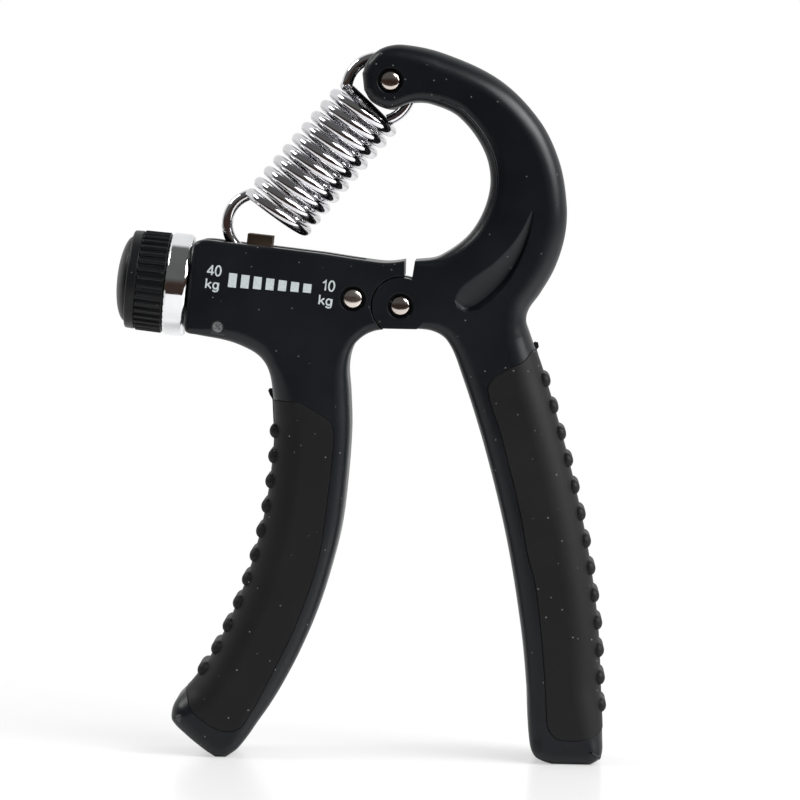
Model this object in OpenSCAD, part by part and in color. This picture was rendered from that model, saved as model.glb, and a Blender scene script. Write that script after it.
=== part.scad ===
// Adjustable hand grip strengthener. Millimetres, X to the squeezing side, Y across, Z up.
// It stands on the ends of its two handles; the origin is the middle of its footprint.

/* [Body] */
// Width of both handles across the hand
body_w = 18; // [15:0.5:22]
// Wall of the moulded shells
shell_wall = 2.4; // [1.8:0.1:2.6]
// Radius of the edges on the palm side of the handles
palm_edge = 6; // [4:0.5:6.5]
// Radius of the edges on the finger side and along the arm
finger_edge = 3.2; // [2:0.2:4]
// Radius of the edges of the bar and of the ears
bar_edge = 1.8; // [1:0.1:2.2]

/* [Grip pads] */
// Thickness of the rubber of the grip pads
pad_t = 1.5; // [1:0.1:1.8]
// Radius of the short cross ribs on the pads
rib_r = 1.35; // [1:0.05:1.5]
// Length of the ribs across the handle
rib_l = 9; // [5:0.5:10]
// Ribs on the fixed handle
ribs_left = 11; // [7:1:12]
// Ribs on the moving handle
ribs_right = 13; // [8:1:14]

/* [Hinge] */
// Diameter of the shank of the hinge pins
pin_d = 3.4; // [3:0.1:3.6]
// Diameter of the domed heads of the hinge pins
pin_head_d = 3.9; // [3.7:0.1:4.2]
// Radius of the ears round the main hinge
ear_r = 5.4; // [5:0.1:5.8]
// Thickness of the steel tongue in the hinge
tongue_t = 3; // [2.4:0.1:3.4]
// Radius of the tongue's nose that stops the handle at rest
nose_r = 10; // [9:0.2:11]
// Angle that the handle travels when it is squeezed
squeeze = 34; // [20:1:34]

/* [Spring] */
// Diameter of the spring wire
wire_d = 2.2; // [1.8:0.05:2.25]
// Radius of the coil at the middle of the wire
coil_r = 6.35; // [5.8:0.05:6.6]
// Turns of the coil
turns = 9; // [7:1:9]
// Rise of one turn
pitch = 2.73; // [2.7:0.01:2.8]

/* [Adjuster] */
// Diameter of the adjusting screw
screw_d = 4.5; // [4:0.1:5]
// Diameter of the ribbed grip of the knob
knob_d = 19; // [17:0.2:20]
// Length of the ribbed grip of the knob
knob_l = 7; // [5:0.5:8]
// Diameter of the bright ring beside the knob
ring_d = 19.8; // [18:0.2:21]
// Length of the bright ring
ring_l = 4.1; // [3:0.1:4.3]
// Height of the domed end cap
dome_h = 2.6; // [1.5:0.1:3]
// Ribs round the knob
knob_ribs = 36; // [24:2:44]
// Gap between the ears of the carriage, where the spring's hook passes
ear_gap = 3; // [2.6:0.1:3.2]
// Thickness of each ear of the carriage
ear_t = 1.6; // [1.2:0.1:1.8]

/* [Fits] */
// Radial clearance of a pin that turns in its bore
run = 0.05; // [0.03:0.01:0.08]
// Gap between a moving part and the wall beside it
gap = 0.3; // [0.2:0.05:0.4]

/* [Hidden] */
$fn = 48;
steps = 2;
black = [0.13, 0.135, 0.15];
rubber = [0.19, 0.19, 0.19];
steel = [0.75, 0.74, 0.72];
bronze = [0.3, 0.26, 0.2];
half_w = body_w / 2;

// Seats of the pins' heads
recess_d = 1.1;
recess_gap = 0.35;
head_rim = 0.4;
head_dome = 0.75;
// Clearance of pieces that are pressed or clamped in place
seat = 0.02;
washer_t = 0.4;
ear_edge = 0.4;
ear_in = tongue_t / 2 + washer_t + run;

// Places of the joints in the plane of the handles, as [x, z]
pivot = [6.8, 87.6];
tip = [4.1, 130.45];
anchor = [-2.3, 88.8];
hook = [-21.1, 99];

// The bar holds the adjuster: its axis starts at the bar's end face and runs down to the right
bar_start = [-33.8, 90.4];
bar_tilt = 5.5;
along = [cos(bar_tilt), -sin(bar_tilt)];
across = [sin(bar_tilt), cos(bar_tilt)];

function on_bar(a, h) = bar_start + along * a + across * h;
function bar_place(p) = (p - bar_start) * along;

// Both sides of the fixed handle from the foot up, as [x, z, edge radius, 0 at a corner]
left_palm = [
  [-27.3, 0, 2, 0], [-29.4, 1.3, 2], [-33.3, 4.3, 2.5], [-35.8, 7, 3], [-35.4, 10.2, 4],
  [-32.3, 13.6, palm_edge], [-28.2, 19, palm_edge], [-24.5, 26.2, palm_edge],
  [-21.2, 34.8, palm_edge], [-18.6, 44.6, palm_edge], [-17.1, 54, palm_edge],
  [-16.6, 63, palm_edge], [-17.4, 70.5, 4], [-18.4, 75, 2.5], [-20.4, 77.6, bar_edge],
  [-23.8, 79.4, bar_edge], [-27, 80.4, bar_edge], [-32, 81.3, bar_edge],
  [-34.2, 81.9, bar_edge], [-34.5, 84, bar_edge], [-33.2, 97.4, bar_edge],
  [-32.6, 99, bar_edge], [-30.8, 99.5, bar_edge], [-26.5, 99.1, bar_edge],
  [-18, 98.3, bar_edge]
];
left_fingers = [
  [-25.3, 0, 2, 0], [-23.2, 1.5, 2], [-21.3, 3.8, 2.5], [-19.4, 6.6, finger_edge],
  [-16.9, 10.3, finger_edge], [-14.4, 14.6, finger_edge], [-11.3, 20.8, finger_edge],
  [-8.1, 28.6, finger_edge], [-5.7, 36.6, finger_edge], [-3.9, 44.6, finger_edge],
  [-2.9, 54, finger_edge], [-2.4, 63.4, finger_edge], [-2.7, 70.5, finger_edge],
  [-3.1, 75.5, 2.5], [-2.3, 79.3, bar_edge], [-0.4, 81.5, bar_edge], [2, 82.7, bar_edge],
  [5, 83.1, ear_edge], [7.4, 83.2, ear_edge, 0], [7.4, 85, ear_edge], [7.4, 92, ear_edge],
  [7.4, 96.2, ear_edge, 0], [4, 95.7, bar_edge], [-0.3, 96.2, bar_edge], [-8, 97.25, bar_edge]
];

// Both sides of the moving handle and its arm, from the foot to the tip
right_fingers = [
  [37.5, 0, 2, 0], [34.2, 1.4, 2], [33, 5, finger_edge], [32.3, 15, finger_edge],
  [31, 26.4, finger_edge], [28, 43, finger_edge], [23.6, 60, finger_edge],
  [18.8, 74.5, finger_edge], [15.9, 81, 2.5], [12.6, 83, bar_edge], [9.4, 83.2, ear_edge, 0],
  [8.9, 93.6, ear_edge, 0], [9.5, 96.1, bar_edge], [14.3, 97.2, 2.5],
  [20.3, 102.2, finger_edge], [23.4, 110, finger_edge], [22.4, 117, finger_edge],
  [17.4, 123.7, finger_edge], [12, 126.2, 2.5], [8.3, 126.4, 2], [4.3, 125.05, 2],
  [0.7, 126.3, 2], [-0.9, 128.6, 2]
];
right_palm = [
  [44.8, 0, 2, 0], [46.9, 1.4, 2.5], [47.2, 5, 4], [46.7, 14.5, palm_edge],
  [45.3, 27.5, palm_edge], [42.7, 43.6, palm_edge], [38.7, 59.8, palm_edge],
  [34.2, 75, palm_edge], [31.7, 82.6, 5], [30.9, 85.2, 4], [31.4, 87.4, 4],
  [33.4, 90.3, 4], [36.2, 95.4, 4], [38, 101.6, 4], [38.2, 107.6, 4], [36.6, 115.8, 4],
  [32.6, 123.6, 4], [25, 131, 4], [14.5, 135.8, 4], [6.4, 137.4, 3], [2.3, 136.6, 2],
  [-0.3, 134.2, 2], [-1.3, 131.8, 2]
];

// Edge of each grip pad on the face of its handle, closed round the palm side
left_pad_edge = [
  [-40, 68.9], [-13.1, 68.9], [-9.5, 67.2], [-5.9, 64.4], [-5.8, 57.7], [-6.6, 49.2],
  [-7.9, 39.2], [-9.7, 32.8], [-12.6, 24.9], [-15.5, 18.7], [-18.5, 12.5], [-20.9, 8.2],
  [-22.9, 5.6], [-26.6, 5.4], [-32, 9.1], [-33.7, 12.8], [-40, 13.5]
];
right_pad_edge = [
  [52, 80.4], [33, 79.8], [30.5, 77.4], [27.5, 75.9], [24.6, 73.8], [23.8, 72.1],
  [24.7, 68.4], [26.3, 63.9], [27.8, 58.5], [29.4, 52.7], [31, 45.8], [31.9, 40.9],
  [33.5, 35.1], [34.8, 26.3], [35.8, 16.3], [36.2, 10.5], [36.7, 6.9], [38.8, 4.9],
  [45.2, 5.3], [47.9, 7.3], [52, 7.3]
];

// Last point of each handle's sides, and the heights of the lowest and the highest rib of its pad
left_last = len(left_palm) - 1;
right_last = len(right_palm) - 1;
left_rib_z = [17.2, 63.2];
right_rib_z = [11.8, 74.9];

// ---- Outlines -------------------------------------------------------------

function unit(v) = v / max(norm(v), 1e-9);
function flat(p) = [p[0], p[1]];

// Direction of a smooth curve at its point i; a corner has none
function lean(p, i) =
  len(p[i]) == 4 ? [0, 0] : unit(flat(p[min(i + 1, len(p) - 1)]) - flat(p[max(i - 1, 0)]));

// Point at t on the curve from point i to the next, with its edge radius
function curve_point(p, i, t) =
  let (a = flat(p[i]), b = flat(p[i + 1]), reach = norm(b - a))
  let (da = lean(p, i) * reach, db = lean(p, i + 1) * reach)
  let (q = a * (2 * t ^ 3 - 3 * t ^ 2 + 1) + b * (3 * t ^ 2 - 2 * t ^ 3)
       + da * (t ^ 3 - 2 * t ^ 2 + t) + db * (t ^ 3 - t ^ 2))
  [q[0], q[1], p[i][2] * (1 - t) + p[i + 1][2] * t];

// A side as points, from its control point first to its control point last
function side(p, first, last, n) = [
  for (i = [first : last - 1], k = [0 : n - 1]) curve_point(p, i, k / n),
  [p[last][0], p[last][1], p[last][2]]
];

function back(p) = [for (i = [len(p) - 1 : -1 : 0]) p[i]];

// Outward direction at each point of a closed loop, longer at corners so that walls stay even
function outward(p, i) =
  let (n = len(p), a = flat(p[(i + n - 1) % n]), b = flat(p[i]), c = flat(p[(i + 1) % n]))
  let (u = unit(b - a), v = unit(c - b), nu = [-u[1], u[0]], nv = [-v[1], v[0]])
  let (m = unit(nu + nv))
  m / max(m * nu, 0.6);

// One ring of the rounded edge, at an angle from the side wall (0) to the face (90)
function edge_ring(p, inset, angle) = [
  for (i = [0 : len(p) - 1])
    let (r = max(p[i][2] - inset, 0.4), d = inset + r * (1 - cos(angle)))
    let (q = flat(p[i]) - outward(p, i) * d)
    [q[0], half_w - inset - r * (1 - sin(angle)), q[1]]
];

function mirrored(ring) = [for (p = ring) [p[0], -p[1], p[2]]];

// A limb between its left side and its right side, rounded on both faces, smaller all round by inset
// A half is the front one, up to the middle plane
module limb(left, right, first, last, inset = 0, n = steps, half = false) {
  loop = concat(side(left, first, last, n), back(side(right, first, last, n)));
  angles = inset == 0 ? [0, 30, 60, 90] : [0, 45, 90];
  rear = [for (angle = angles) edge_ring(loop, inset, angle)];
  front = [for (k = [len(rear) - 1 : -1 : 0]) mirrored(rear[k])];
  middle = [for (p = rear[0]) [p[0], 0, p[2]]];
  rings = half ? concat(front, [middle]) : concat(front, rear);
  count = len(loop);
  top = (len(rings) - 1) * count;
  walls = [
    for (k = [0 : len(rings) - 2], i = [0 : count - 1])
      let (j = (i + 1) % count, c = k * count)
      each [[c + i, c + count + j, c + j], [c + i, c + count + i, c + count + j]]
  ];
  caps = [[for (i = [0 : count - 1]) i], [for (i = [count - 1 : -1 : 0]) top + i]];
  polyhedron([for (ring = rings) each ring], concat(walls, caps));
}

// ---- Helpers --------------------------------------------------------------

// Cylinder along Y at a place in the plane of the handles
module rod(place, r, y0, y1) {
  translate([place[0], y1, place[1]]) rotate([90, 0, 0]) cylinder(h = y1 - y0, r = r);
}

// Flat outline in the plane of the handles, from y0 to y1
module plate(y0, y1) {
  translate([0, y1, 0]) rotate([90, 0, 0]) linear_extrude(y1 - y0) children();
}

// Its children stand on the bar's axis at a, with their Z along the axis into the bar
module on_axis(a) {
  p = on_bar(a, 0);
  translate([p[0], 0, p[1]]) rotate([0, 90 + bar_tilt, 0]) children();
}

// Box in the bar, from a0 to a1 along it, h0 to h1 above its axis, and y either side
module bar_box(a0, a1, h0, h1, y) {
  on_axis(a0) translate([-h1, -y, 0]) cube([h1 - h0, 2 * y, a1 - a0]);
}

// Ring or disc round the bar's axis
module bar_ring(a0, a1, r, bore = 0) {
  on_axis(a0) difference() {
    cylinder(h = a1 - a0, r = r);
    if (bore > 0) translate([0, 0, -1]) cylinder(h = a1 - a0 + 2, r = bore);
  }
}

// Hinge pin along Y with a domed head in the recess at both faces
module domed_pin(place) {
  head_y = half_w - recess_d;
  upper = concat(
    [[pin_d / 2, head_y], [pin_head_d / 2, head_y]],
    [for (t = [0 : 15 : 90]) [pin_head_d / 2 * cos(t), head_y + head_rim + head_dome * sin(t)]]
  );
  lower = [for (i = [len(upper) - 1 : -1 : 0]) [upper[i][0], -upper[i][1]]];
  translate([place[0], 0, place[1]]) rotate([90, 0, 0]) rotate_extrude() polygon(concat(upper, lower));
}

// Bore for such a pin with the recess for its heads
module pin_bore(place) {
  rod(place, pin_d / 2 + run, -half_w - 1, half_w + 1);
  for (s = [-1, 1])
    rod(place, pin_head_d / 2 + recess_gap, s > 0 ? half_w - recess_d : -half_w - 1,
        s > 0 ? half_w + 1 : -half_w + recess_d);
}

// Points of a closed outline, smoothed through its control points
function smooth(p, n = 2) =
  let (q = [for (v = p) [v[0], v[1], 0]])
  [for (v = side(q, 0, len(q) - 1, n)) flat(v)];

// Self-tapping screws that hold the two shells of a handle together, driven from the rear
left_screws = [[-15.3, 30], [-9.8, 60], [-10, 80]];
right_screws = [[39.3, 20], [31.2, 60], [30.8, 110]];
boss_r = 3;
screw_shank = 1.2;
screw_head = 2.4;
screw_head_y = half_w - 4.6;
screw_tip_y = 3.8 - half_w;

module shell_screw(place) {
  rod(place, screw_shank, screw_tip_y, screw_head_y);
  rod(place, screw_head, screw_head_y, screw_head_y + 1.6);
}

module screw_holes(places) {
  for (place = places) {
    rod(place, screw_shank + seat, screw_tip_y - 0.3, screw_head_y + 1);
    rod(place, screw_head + seat * 5, screw_head_y, half_w + 1);
  }
}

// Bosses for them in the front half, up to the wall of the shell or of the floor under the pad
module bosses(places, wall) {
  for (place = places) rod(place, boss_r, wall - half_w, 0);
}

// ---- Grip pads ------------------------------------------------------------

module left_pad_area() {
  plate(-half_w - 1, half_w + 1) polygon(smooth(left_pad_edge));
}

module right_pad_area() {
  plate(-half_w - 1, half_w + 1) polygon(smooth(right_pad_edge));
}

// Distance along a line of points up to each of them
function distances(p) = [
  for (i = 0, d = 0; i < len(p); d = d + (i + 1 < len(p) ? norm(flat(p[i + 1] - p[i])) : 0), i = i + 1) d
];

// Point at a distance along a line of points
function point_at(p, d, s) =
  let (i = max([for (k = [0 : len(p) - 2]) if (d[k] <= s) k]))
  let (t = (s - d[i]) / (d[i + 1] - d[i]))
  flat(p[i]) * (1 - t) + flat(p[i + 1]) * t;

// Short ribs across the palm side, evenly spaced between two heights
module pad_ribs(palm, count, heights) {
  line = side(palm, 2, 12, 4);
  d = distances(line);
  from = max([for (i = [0 : len(line) - 1]) if (line[i][1] <= heights[0]) d[i]]);
  to = min([for (i = [0 : len(line) - 1]) if (line[i][1] >= heights[1]) d[i]]);
  for (i = [0 : count - 1]) {
    p = point_at(line, d, from + (to - from) * i / (count - 1));
    inward = palm[8][0] < 0 ? 0.3 : -0.3;
    hull() for (s = [-1, 1])
      translate([p[0] + inward, s * (rib_l / 2 - rib_r), p[1]]) sphere(r = rib_r, $fn = 12);
  }
}

module left_grip_pad() {
  color(rubber) difference() {
    union() {
      intersection() {
        limb(left_palm, left_fingers, 0, left_last);
        left_pad_area();
      }
      pad_ribs(left_palm, ribs_left, left_rib_z);
    }
    limb(left_palm, left_fingers, 0, left_last, pad_t);
  }
}

module right_grip_pad() {
  color(rubber) difference() {
    union() {
      intersection() {
        limb(right_fingers, right_palm, 0, right_last);
        right_pad_area();
      }
      pad_ribs(right_palm, ribs_right, right_rib_z);
    }
    limb(right_fingers, right_palm, 0, right_last, pad_t);
  }
}

// ---- Fixed handle ---------------------------------------------------------

// Steel tongue: it is clamped in the fixed handle and carries the hinge
tongue_end_r = 2.9;
tongue_r = ear_r - 0.1;
nose_half = 1.5;
bushing_r = 2.6;

// Its outline, larger all round by grow, between y0 and y1
module tongue_shape(y0, y1, grow = 0) {
  rod(anchor, tongue_end_r + grow, y0, y1);
  rod(pivot, tongue_r + grow, y0, y1);
  plate(y0, y1) polygon([
    anchor + [0.6, tongue_end_r - 0.2 + grow], pivot + [-2, tongue_r - 0.8 + grow],
    pivot + [-2, 0.8 - tongue_r - grow], anchor + [0.6, 0.2 - tongue_end_r - grow]
  ]);
}

module hinge_tongue() {
  y = tongue_t / 2;
  color(steel) difference() {
    union() {
      tongue_shape(-y, y);
      translate([pivot[0] + bushing_r + 1, -y, pivot[1] - nose_half])
        cube([nose_r - bushing_r - 1, tongue_t, 2 * nose_half]);
    }
    rod(pivot, bushing_r + seat, -tongue_t, tongue_t);
    rod(anchor, pin_d / 2 + run, -tongue_t, tongue_t);
  }
}

// Adjuster inside the bar: places along the bar's axis
bush_end = 5.2;
washer_end = 0.65;
carriage_a = [10, 16.8];
carriage_h = 4.3;
ear_a = [10.2, 15.1];
ear_top = 11.8;
bearing_a = [26.4, 28.4];
bearing_h = 4;
hollow_a = [bush_end, bearing_a[0]];
slot_a = [1.6, 33];
slot_y = ear_gap / 2 + ear_t + gap;
bush_r = 4.5;
lug_h = -8.2;
lug_y = 2.5;
lug_end = 8;
lock_pin_r = 1.1;
lock_pin = on_bar(6.3, -7);
bar_top = 12;

module adjuster_room() {
  bar_ring(-2, bush_end + gap, bush_r + seat);
  bar_box(1 - seat, bush_end, lug_h - seat, -3, lug_y + seat);
  bar_box(bush_end - 0.1, lug_end + seat, lug_h - seat, -4, lug_y + seat);
  bar_box(hollow_a[0], hollow_a[1] + seat * 2, -carriage_h - gap, bar_top, carriage_h + gap);
  bar_box(bearing_a[0] - seat, bearing_a[1] + seat, -bearing_h - seat, bearing_h + seat, bearing_h + seat);
}

// The hollow for the carriage is closed above by the two lips beside the slot
module bar_lips() {
  for (s = [-1, 1])
    on_axis(hollow_a[0] - 0.1) translate([-bar_top, s > 0 ? slot_y : -slot_y - 6, -1])
      cube([bar_top - carriage_h - gap, 6, hollow_a[1] - hollow_a[0] + 2]);
}

// Moulded form of the front half, before its round bores
module left_moulding() {
  difference() {
    union() {
      difference() {
        limb(left_palm, left_fingers, 0, left_last, half = true);
        limb(left_palm, left_fingers, 5, 11, shell_wall + pad_t);
        difference() {
          adjuster_room();
          bar_lips();
        }
      }
      bosses([left_screws[0], left_screws[1]], shell_wall + pad_t);
    }
    difference() {
      left_pad_area();
      limb(left_palm, left_fingers, 0, left_last, pad_t);
    }
    bar_box(slot_a[0], slot_a[1], bush_r + 0.3, bar_top, slot_y);
    tongue_shape(-tongue_t / 2 - seat, tongue_t / 2 + seat, seat);
  }
}

// Half -1 is the front one and 1 the rear one
module left_shell(half) {
  difference() {
    mirror([0, half + 1, 0]) resize([0, half_w, 0]) left_moulding();
    rod(pivot, ear_r + gap, -half_w - 1, half_w + 1);
    pin_bore(anchor);
    rod(lock_pin, lock_pin_r + seat, -half_w - 1, half_w + 1);
    screw_holes(left_screws);
  }
}

module left_shell_front() {
  color(black) left_shell(-1);
}

module left_shell_rear() {
  color(black) left_shell(1);
}

module left_shell_screws() {
  color(steel) for (place = left_screws) shell_screw(place);
}

module anchor_pin() {
  color(steel) domed_pin(anchor);
}

module bush_retaining_pin() {
  color(steel) rod(lock_pin, lock_pin_r, -half_w + 0.1, half_w - 0.1);
}

module screw_bush() {
  color(bronze) difference() {
    union() {
      bar_ring(washer_end + 0.05, bush_end, bush_r);
      bar_box(1, bush_end, lug_h, -3, lug_y);
      bar_box(bush_end - 0.1, lug_end, lug_h, -carriage_h - gap - 0.1, lug_y);
    }
    bar_ring(-1, 9, screw_d / 2 + run);
    bar_ring(clip_a[0] - 0.1, 9, clip_r + gap);
    rod(lock_pin, lock_pin_r + seat, -half_w, half_w);
  }
}

module end_bearing() {
  color(bronze) difference() {
    bar_box(bearing_a[0], bearing_a[1], -bearing_h, bearing_h, bearing_h);
    bar_ring(bearing_a[0] - 1, bearing_a[1] + 1, screw_d / 2 + run);
  }
}

// ---- Moving handle --------------------------------------------------------

tip_slot_y = wire_d / 2 + 0.5;
tip_slot_x = 11;
arm_top = 140;
tear_low = [[19.5, 86.8], [22.4, 87.6], [25.4, 90.2], [27.7, 93.1], [29.6, 96.8], [31, 101], [31.7, 105.6]];
tear_high = [[30.3, 104], [28.9, 101.3], [25.2, 96.9], [21.7, 94.2], [18.8, 92], [17.2, 89.2], [19.5, 86.8]];
tear_d = 1.2;

// Room in the shells for the tongue's nose: its lower wall stops the handle at rest
module nose_room() {
  r = nose_r + gap;
  low = nose_half + run;
  plate(-tongue_t / 2 - 0.1, tongue_t / 2 + 0.1) translate(pivot) polygon(concat(
    [[0, -low]],
    [for (i = [0 : 8]) let (a = -asin(low / r) + (squeeze + 2 * asin(low / r) + 1) * i / 8) r * [cos(a), sin(a)]],
    [[0, low / cos(squeeze)]]
  ));
}

// Moulded form of the front half, before its round bores
module right_moulding() {
  difference() {
    union() {
      difference() {
        limb(right_fingers, right_palm, 0, right_last, half = true);
        limb(right_fingers, right_palm, 3, 7, shell_wall + pad_t);
        limb(right_fingers, right_palm, 14, 17, shell_wall + 0.6);
      }
      bosses([right_screws[0], right_screws[1]], shell_wall + pad_t);
      bosses([right_screws[2]], shell_wall);
      rod(pivot, ear_r, -half_w, 0);
    }
    difference() {
      right_pad_area();
      limb(right_fingers, right_palm, 0, right_last, pad_t);
    }
    translate([0, -half_w - 1, pivot[1] - 10]) cube([pivot[0] + 3, body_w + 2, 10 - 4.4]);
    rod(pivot, ear_r + gap, -ear_in, ear_in);
    nose_room();
    translate([-5, -tip_slot_y, tip[1] - 10]) cube([tip_slot_x + 5, 2 * tip_slot_y, 20]);
    plate(-half_w - 1, tear_d - half_w) polygon(concat(smooth(tear_low), smooth(tear_high)));
  }
}

module right_shell(half) {
  difference() {
    mirror([0, half + 1, 0]) resize([0, half_w, 0]) right_moulding();
    pin_bore(pivot);
    pin_bore(tip);
    screw_holes(right_screws);
  }
}

module right_shell_front() {
  color(black) right_shell(-1);
}

module right_shell_rear() {
  color(black) right_shell(1);
}

module right_shell_screws() {
  color(steel) for (place = right_screws) shell_screw(place);
}

module pivot_pin() {
  color(steel) domed_pin(pivot);
}

module tip_pin() {
  color(steel) domed_pin(tip);
}

module hinge_bushing() {
  color(bronze) difference() {
    rod(pivot, bushing_r, -tongue_t / 2, tongue_t / 2);
    rod(pivot, pin_d / 2 + run, -tongue_t, tongue_t);
  }
}

module hinge_washers() {
  color(steel) for (s = [-1, 1]) {
    y = tongue_t / 2 + run / 2;
    difference() {
      rod(pivot, ear_r - 0.8, s > 0 ? y : -y - washer_t, s > 0 ? y + washer_t : -y);
      rod(pivot, pin_d / 2 + run, -half_w, half_w);
    }
  }
}

// ---- Knob -----------------------------------------------------------------

ring_a = [-0.4 - ring_l, -0.4];
knob_a = [ring_a[0] - 0.05 - knob_l, ring_a[0] - 0.05];
hub_r = 7;
cap_r = knob_d / 2 - 0.95;
cap_seat_r = cap_r - 0.45;
cap_seat = 1.4;
hex_r = 2.2;
clip_a = [4.5, 5.1];
clip_r = 3.2;
clip_groove_r = 1.8;
end_screw_r = 1.1;
end_screw_head = 3;
rib_depth = 0.35;

// Scalloped outline: the ribs are the crests between the flutes
function ribbed(r, depth, count) = [
  for (i = [0 : count * 4 - 1])
    let (a = i * 90 / count, q = r - depth * (1 - cos(a * count)) / 2) q * [cos(a), sin(a)]
];

module knob_grip() {
  color(black) difference() {
    union() {
      on_axis(knob_a[0]) cylinder(h = 2, r = knob_d / 2 - 0.1);
      on_axis(knob_a[0] + 1.6) linear_extrude(knob_l - 1.6) polygon(ribbed(knob_d / 2, rib_depth, knob_ribs));
      bar_ring(knob_a[1] - 1, ring_a[1] - 0.1, hub_r);
      bar_ring(ring_a[1] - 0.2, 0, bush_r - 0.3);
    }
    bar_ring(knob_a[0] - 1, knob_a[0] + cap_seat, cap_seat_r + seat);
    bar_ring(knob_a[0] + cap_seat - 0.1, knob_a[0] + cap_seat + 1.5, end_screw_head + 0.3);
    on_axis(knob_a[0]) cylinder(h = knob_l + 6, r = hex_r + seat, $fn = 6);
  }
}

module knob_ring() {
  color(steel) bar_ring(ring_a[0], ring_a[1], ring_d / 2, hub_r + seat);
}

module knob_cap() {
  color(black) on_axis(knob_a[0]) rotate_extrude() polygon(concat(
    [[0, 0.2], [cap_seat_r - 1.2, 0.2], [cap_seat_r - 1.2, cap_seat - 0.05], [cap_seat_r, cap_seat - 0.05],
     [cap_seat_r, 0]],
    [for (i = [0 : 9]) [cap_r * cos(i * 10), -0.25 - dome_h * sin(i * 10)]]
  ));
}

module adjusting_screw() {
  color(steel) difference() {
    union() {
      on_axis(knob_a[0] + cap_seat + 1.5) cylinder(h = 0.1 - knob_a[0] - cap_seat - 1.5, r = hex_r, $fn = 6);
      bar_ring(0, bearing_a[1] - 0.2, screw_d / 2);
    }
    bar_ring(clip_a[0] - run, clip_a[1] + run, screw_d, clip_groove_r);
    on_axis(knob_a[0]) cylinder(h = 7, r = end_screw_r + seat);
  }
}

module knob_screw() {
  color(steel) {
    on_axis(knob_a[0] + cap_seat) cylinder(h = 1.5, r = end_screw_head);
    on_axis(knob_a[0] + cap_seat + 1) cylinder(h = 5.4 - cap_seat, r = end_screw_r);
  }
}

module thrust_washer() {
  color(bronze) bar_ring(0.05, washer_end, bush_r - 0.2, screw_d / 2 + run);
}

module retaining_clip() {
  color(steel) difference() {
    bar_ring(clip_a[0], clip_a[1], clip_r, clip_groove_r + seat);
    on_axis(clip_a[0] - 1) translate([0, -1.2, 0]) cube([6, 2.4, 3]);
  }
}

// ---- Carriage -------------------------------------------------------------

hook_pin_r = 1.1;
hook_pin_seat = 1;

module carriage() {
  color(bronze) difference() {
    union() {
      bar_box(carriage_a[0], carriage_a[1], -carriage_h, carriage_h, carriage_h);
      bar_box(ear_a[0], ear_a[1], carriage_h - 1, ear_top, ear_gap / 2 + ear_t);
    }
    bar_ring(carriage_a[0] - 1, carriage_a[1] + 1, screw_d / 2 + run);
    bar_box(carriage_a[0] - 1, carriage_a[1] + 1, screw_d / 2 + 0.8, ear_top + 1, ear_gap / 2);
    rod(hook, hook_pin_r + seat, -ear_gap / 2 - hook_pin_seat - seat, half_w);
  }
}

// The pin is driven in from the rear; the front ear stays closed
module hook_pin() {
  color(steel) rod(hook, hook_pin_r, -ear_gap / 2 - hook_pin_seat, ear_gap / 2 + ear_t);
}

// ---- Spring ---------------------------------------------------------------

// The spring's axis runs from the hook's pin up to the pin in the arm's tip
spring_length = norm(tip - hook);
spring_dir = unit(tip - hook);
spring_side = [-spring_dir[1], spring_dir[0]];
wire_r = wire_d / 2;
coil_start = 7.7;
coil_turns = turns * 360;
coil_end = coil_start + turns * pitch;
low_loop = [3, 1.9];
low_loop_r = 5.85;
high_loop = [spring_length - 2.75, 0.4];
high_loop_r = 5.9;
coil_rings = 8;
loop_rings = 24;

// Point of the spring at s along its axis, e to its upper side and y across
function at_spring(s, e, y) =
  let (p = hook + spring_dir * s + spring_side * e) [p[0], y, p[1]];

function coil_point(t) = at_spring(coil_start + pitch * t / 360, coil_r * cos(t), -coil_r * sin(t));
function loop_point(c, r, a) = at_spring(c[0] + r * cos(a), c[1] + r * sin(a), 0);

// Smooth bridge between two points, leaving along da and arriving along db
function bridge(a, da, b, db, n) = [
  for (k = [1 : n - 1])
    let (t = k / n)
    a * (2 * t ^ 3 - 3 * t ^ 2 + 1) + b * (3 * t ^ 2 - 2 * t ^ 3)
    + da * (t ^ 3 - 2 * t ^ 2 + t) + db * (t ^ 3 - t ^ 2)
];

// The lower hook's line, from its tip in the carriage round to the start of the coil
hook_from = -112;
hook_to = -304;
bend = 22;
hook_arc = [
  for (i = [0 : loop_rings]) loop_point(low_loop, low_loop_r, hook_from + (hook_to - hook_from) * i / loop_rings)
];

coil_line = [
  for (i = [0 : turns * coil_rings]) coil_point(bend + (coil_turns - 2 * bend) * i / (turns * coil_rings))
];
high_from = 118;
high_to = -150;
high_arc = [
  for (i = [0 : loop_rings]) loop_point(high_loop, high_loop_r, high_from + (high_to - high_from) * i / loop_rings)
];

function ahead(p) = unit(p[1] - p[0]);
function arriving(p) = unit(p[len(p) - 1] - p[len(p) - 2]);

low_bridge = bridge(
  hook_arc[loop_rings], arriving(hook_arc) * 3, coil_line[0], ahead(coil_line) * 3, 5
);
high_bridge = bridge(
  coil_line[len(coil_line) - 1], arriving(coil_line) * 3, high_arc[0], ahead(high_arc) * 3, 5
);
hook_line = concat(hook_arc, low_bridge);
spring_line = concat(coil_line, high_bridge, high_arc);

// Direction of the wire at each ring, and a square direction carried along it without twist
function directions(p) = [
  for (i = [0 : len(p) - 1]) unit(p[min(i + 1, len(p) - 1)] - p[max(i - 1, 0)])
];
function carried(d) = [
  for (i = 0, n = unit(cross(d[0], cross([0.3, 1, 0.2], d[0])));
       i < len(d);
       n = i + 1 < len(d) ? unit(n - (n * d[i + 1]) * d[i + 1]) : n, i = i + 1) n
];

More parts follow.
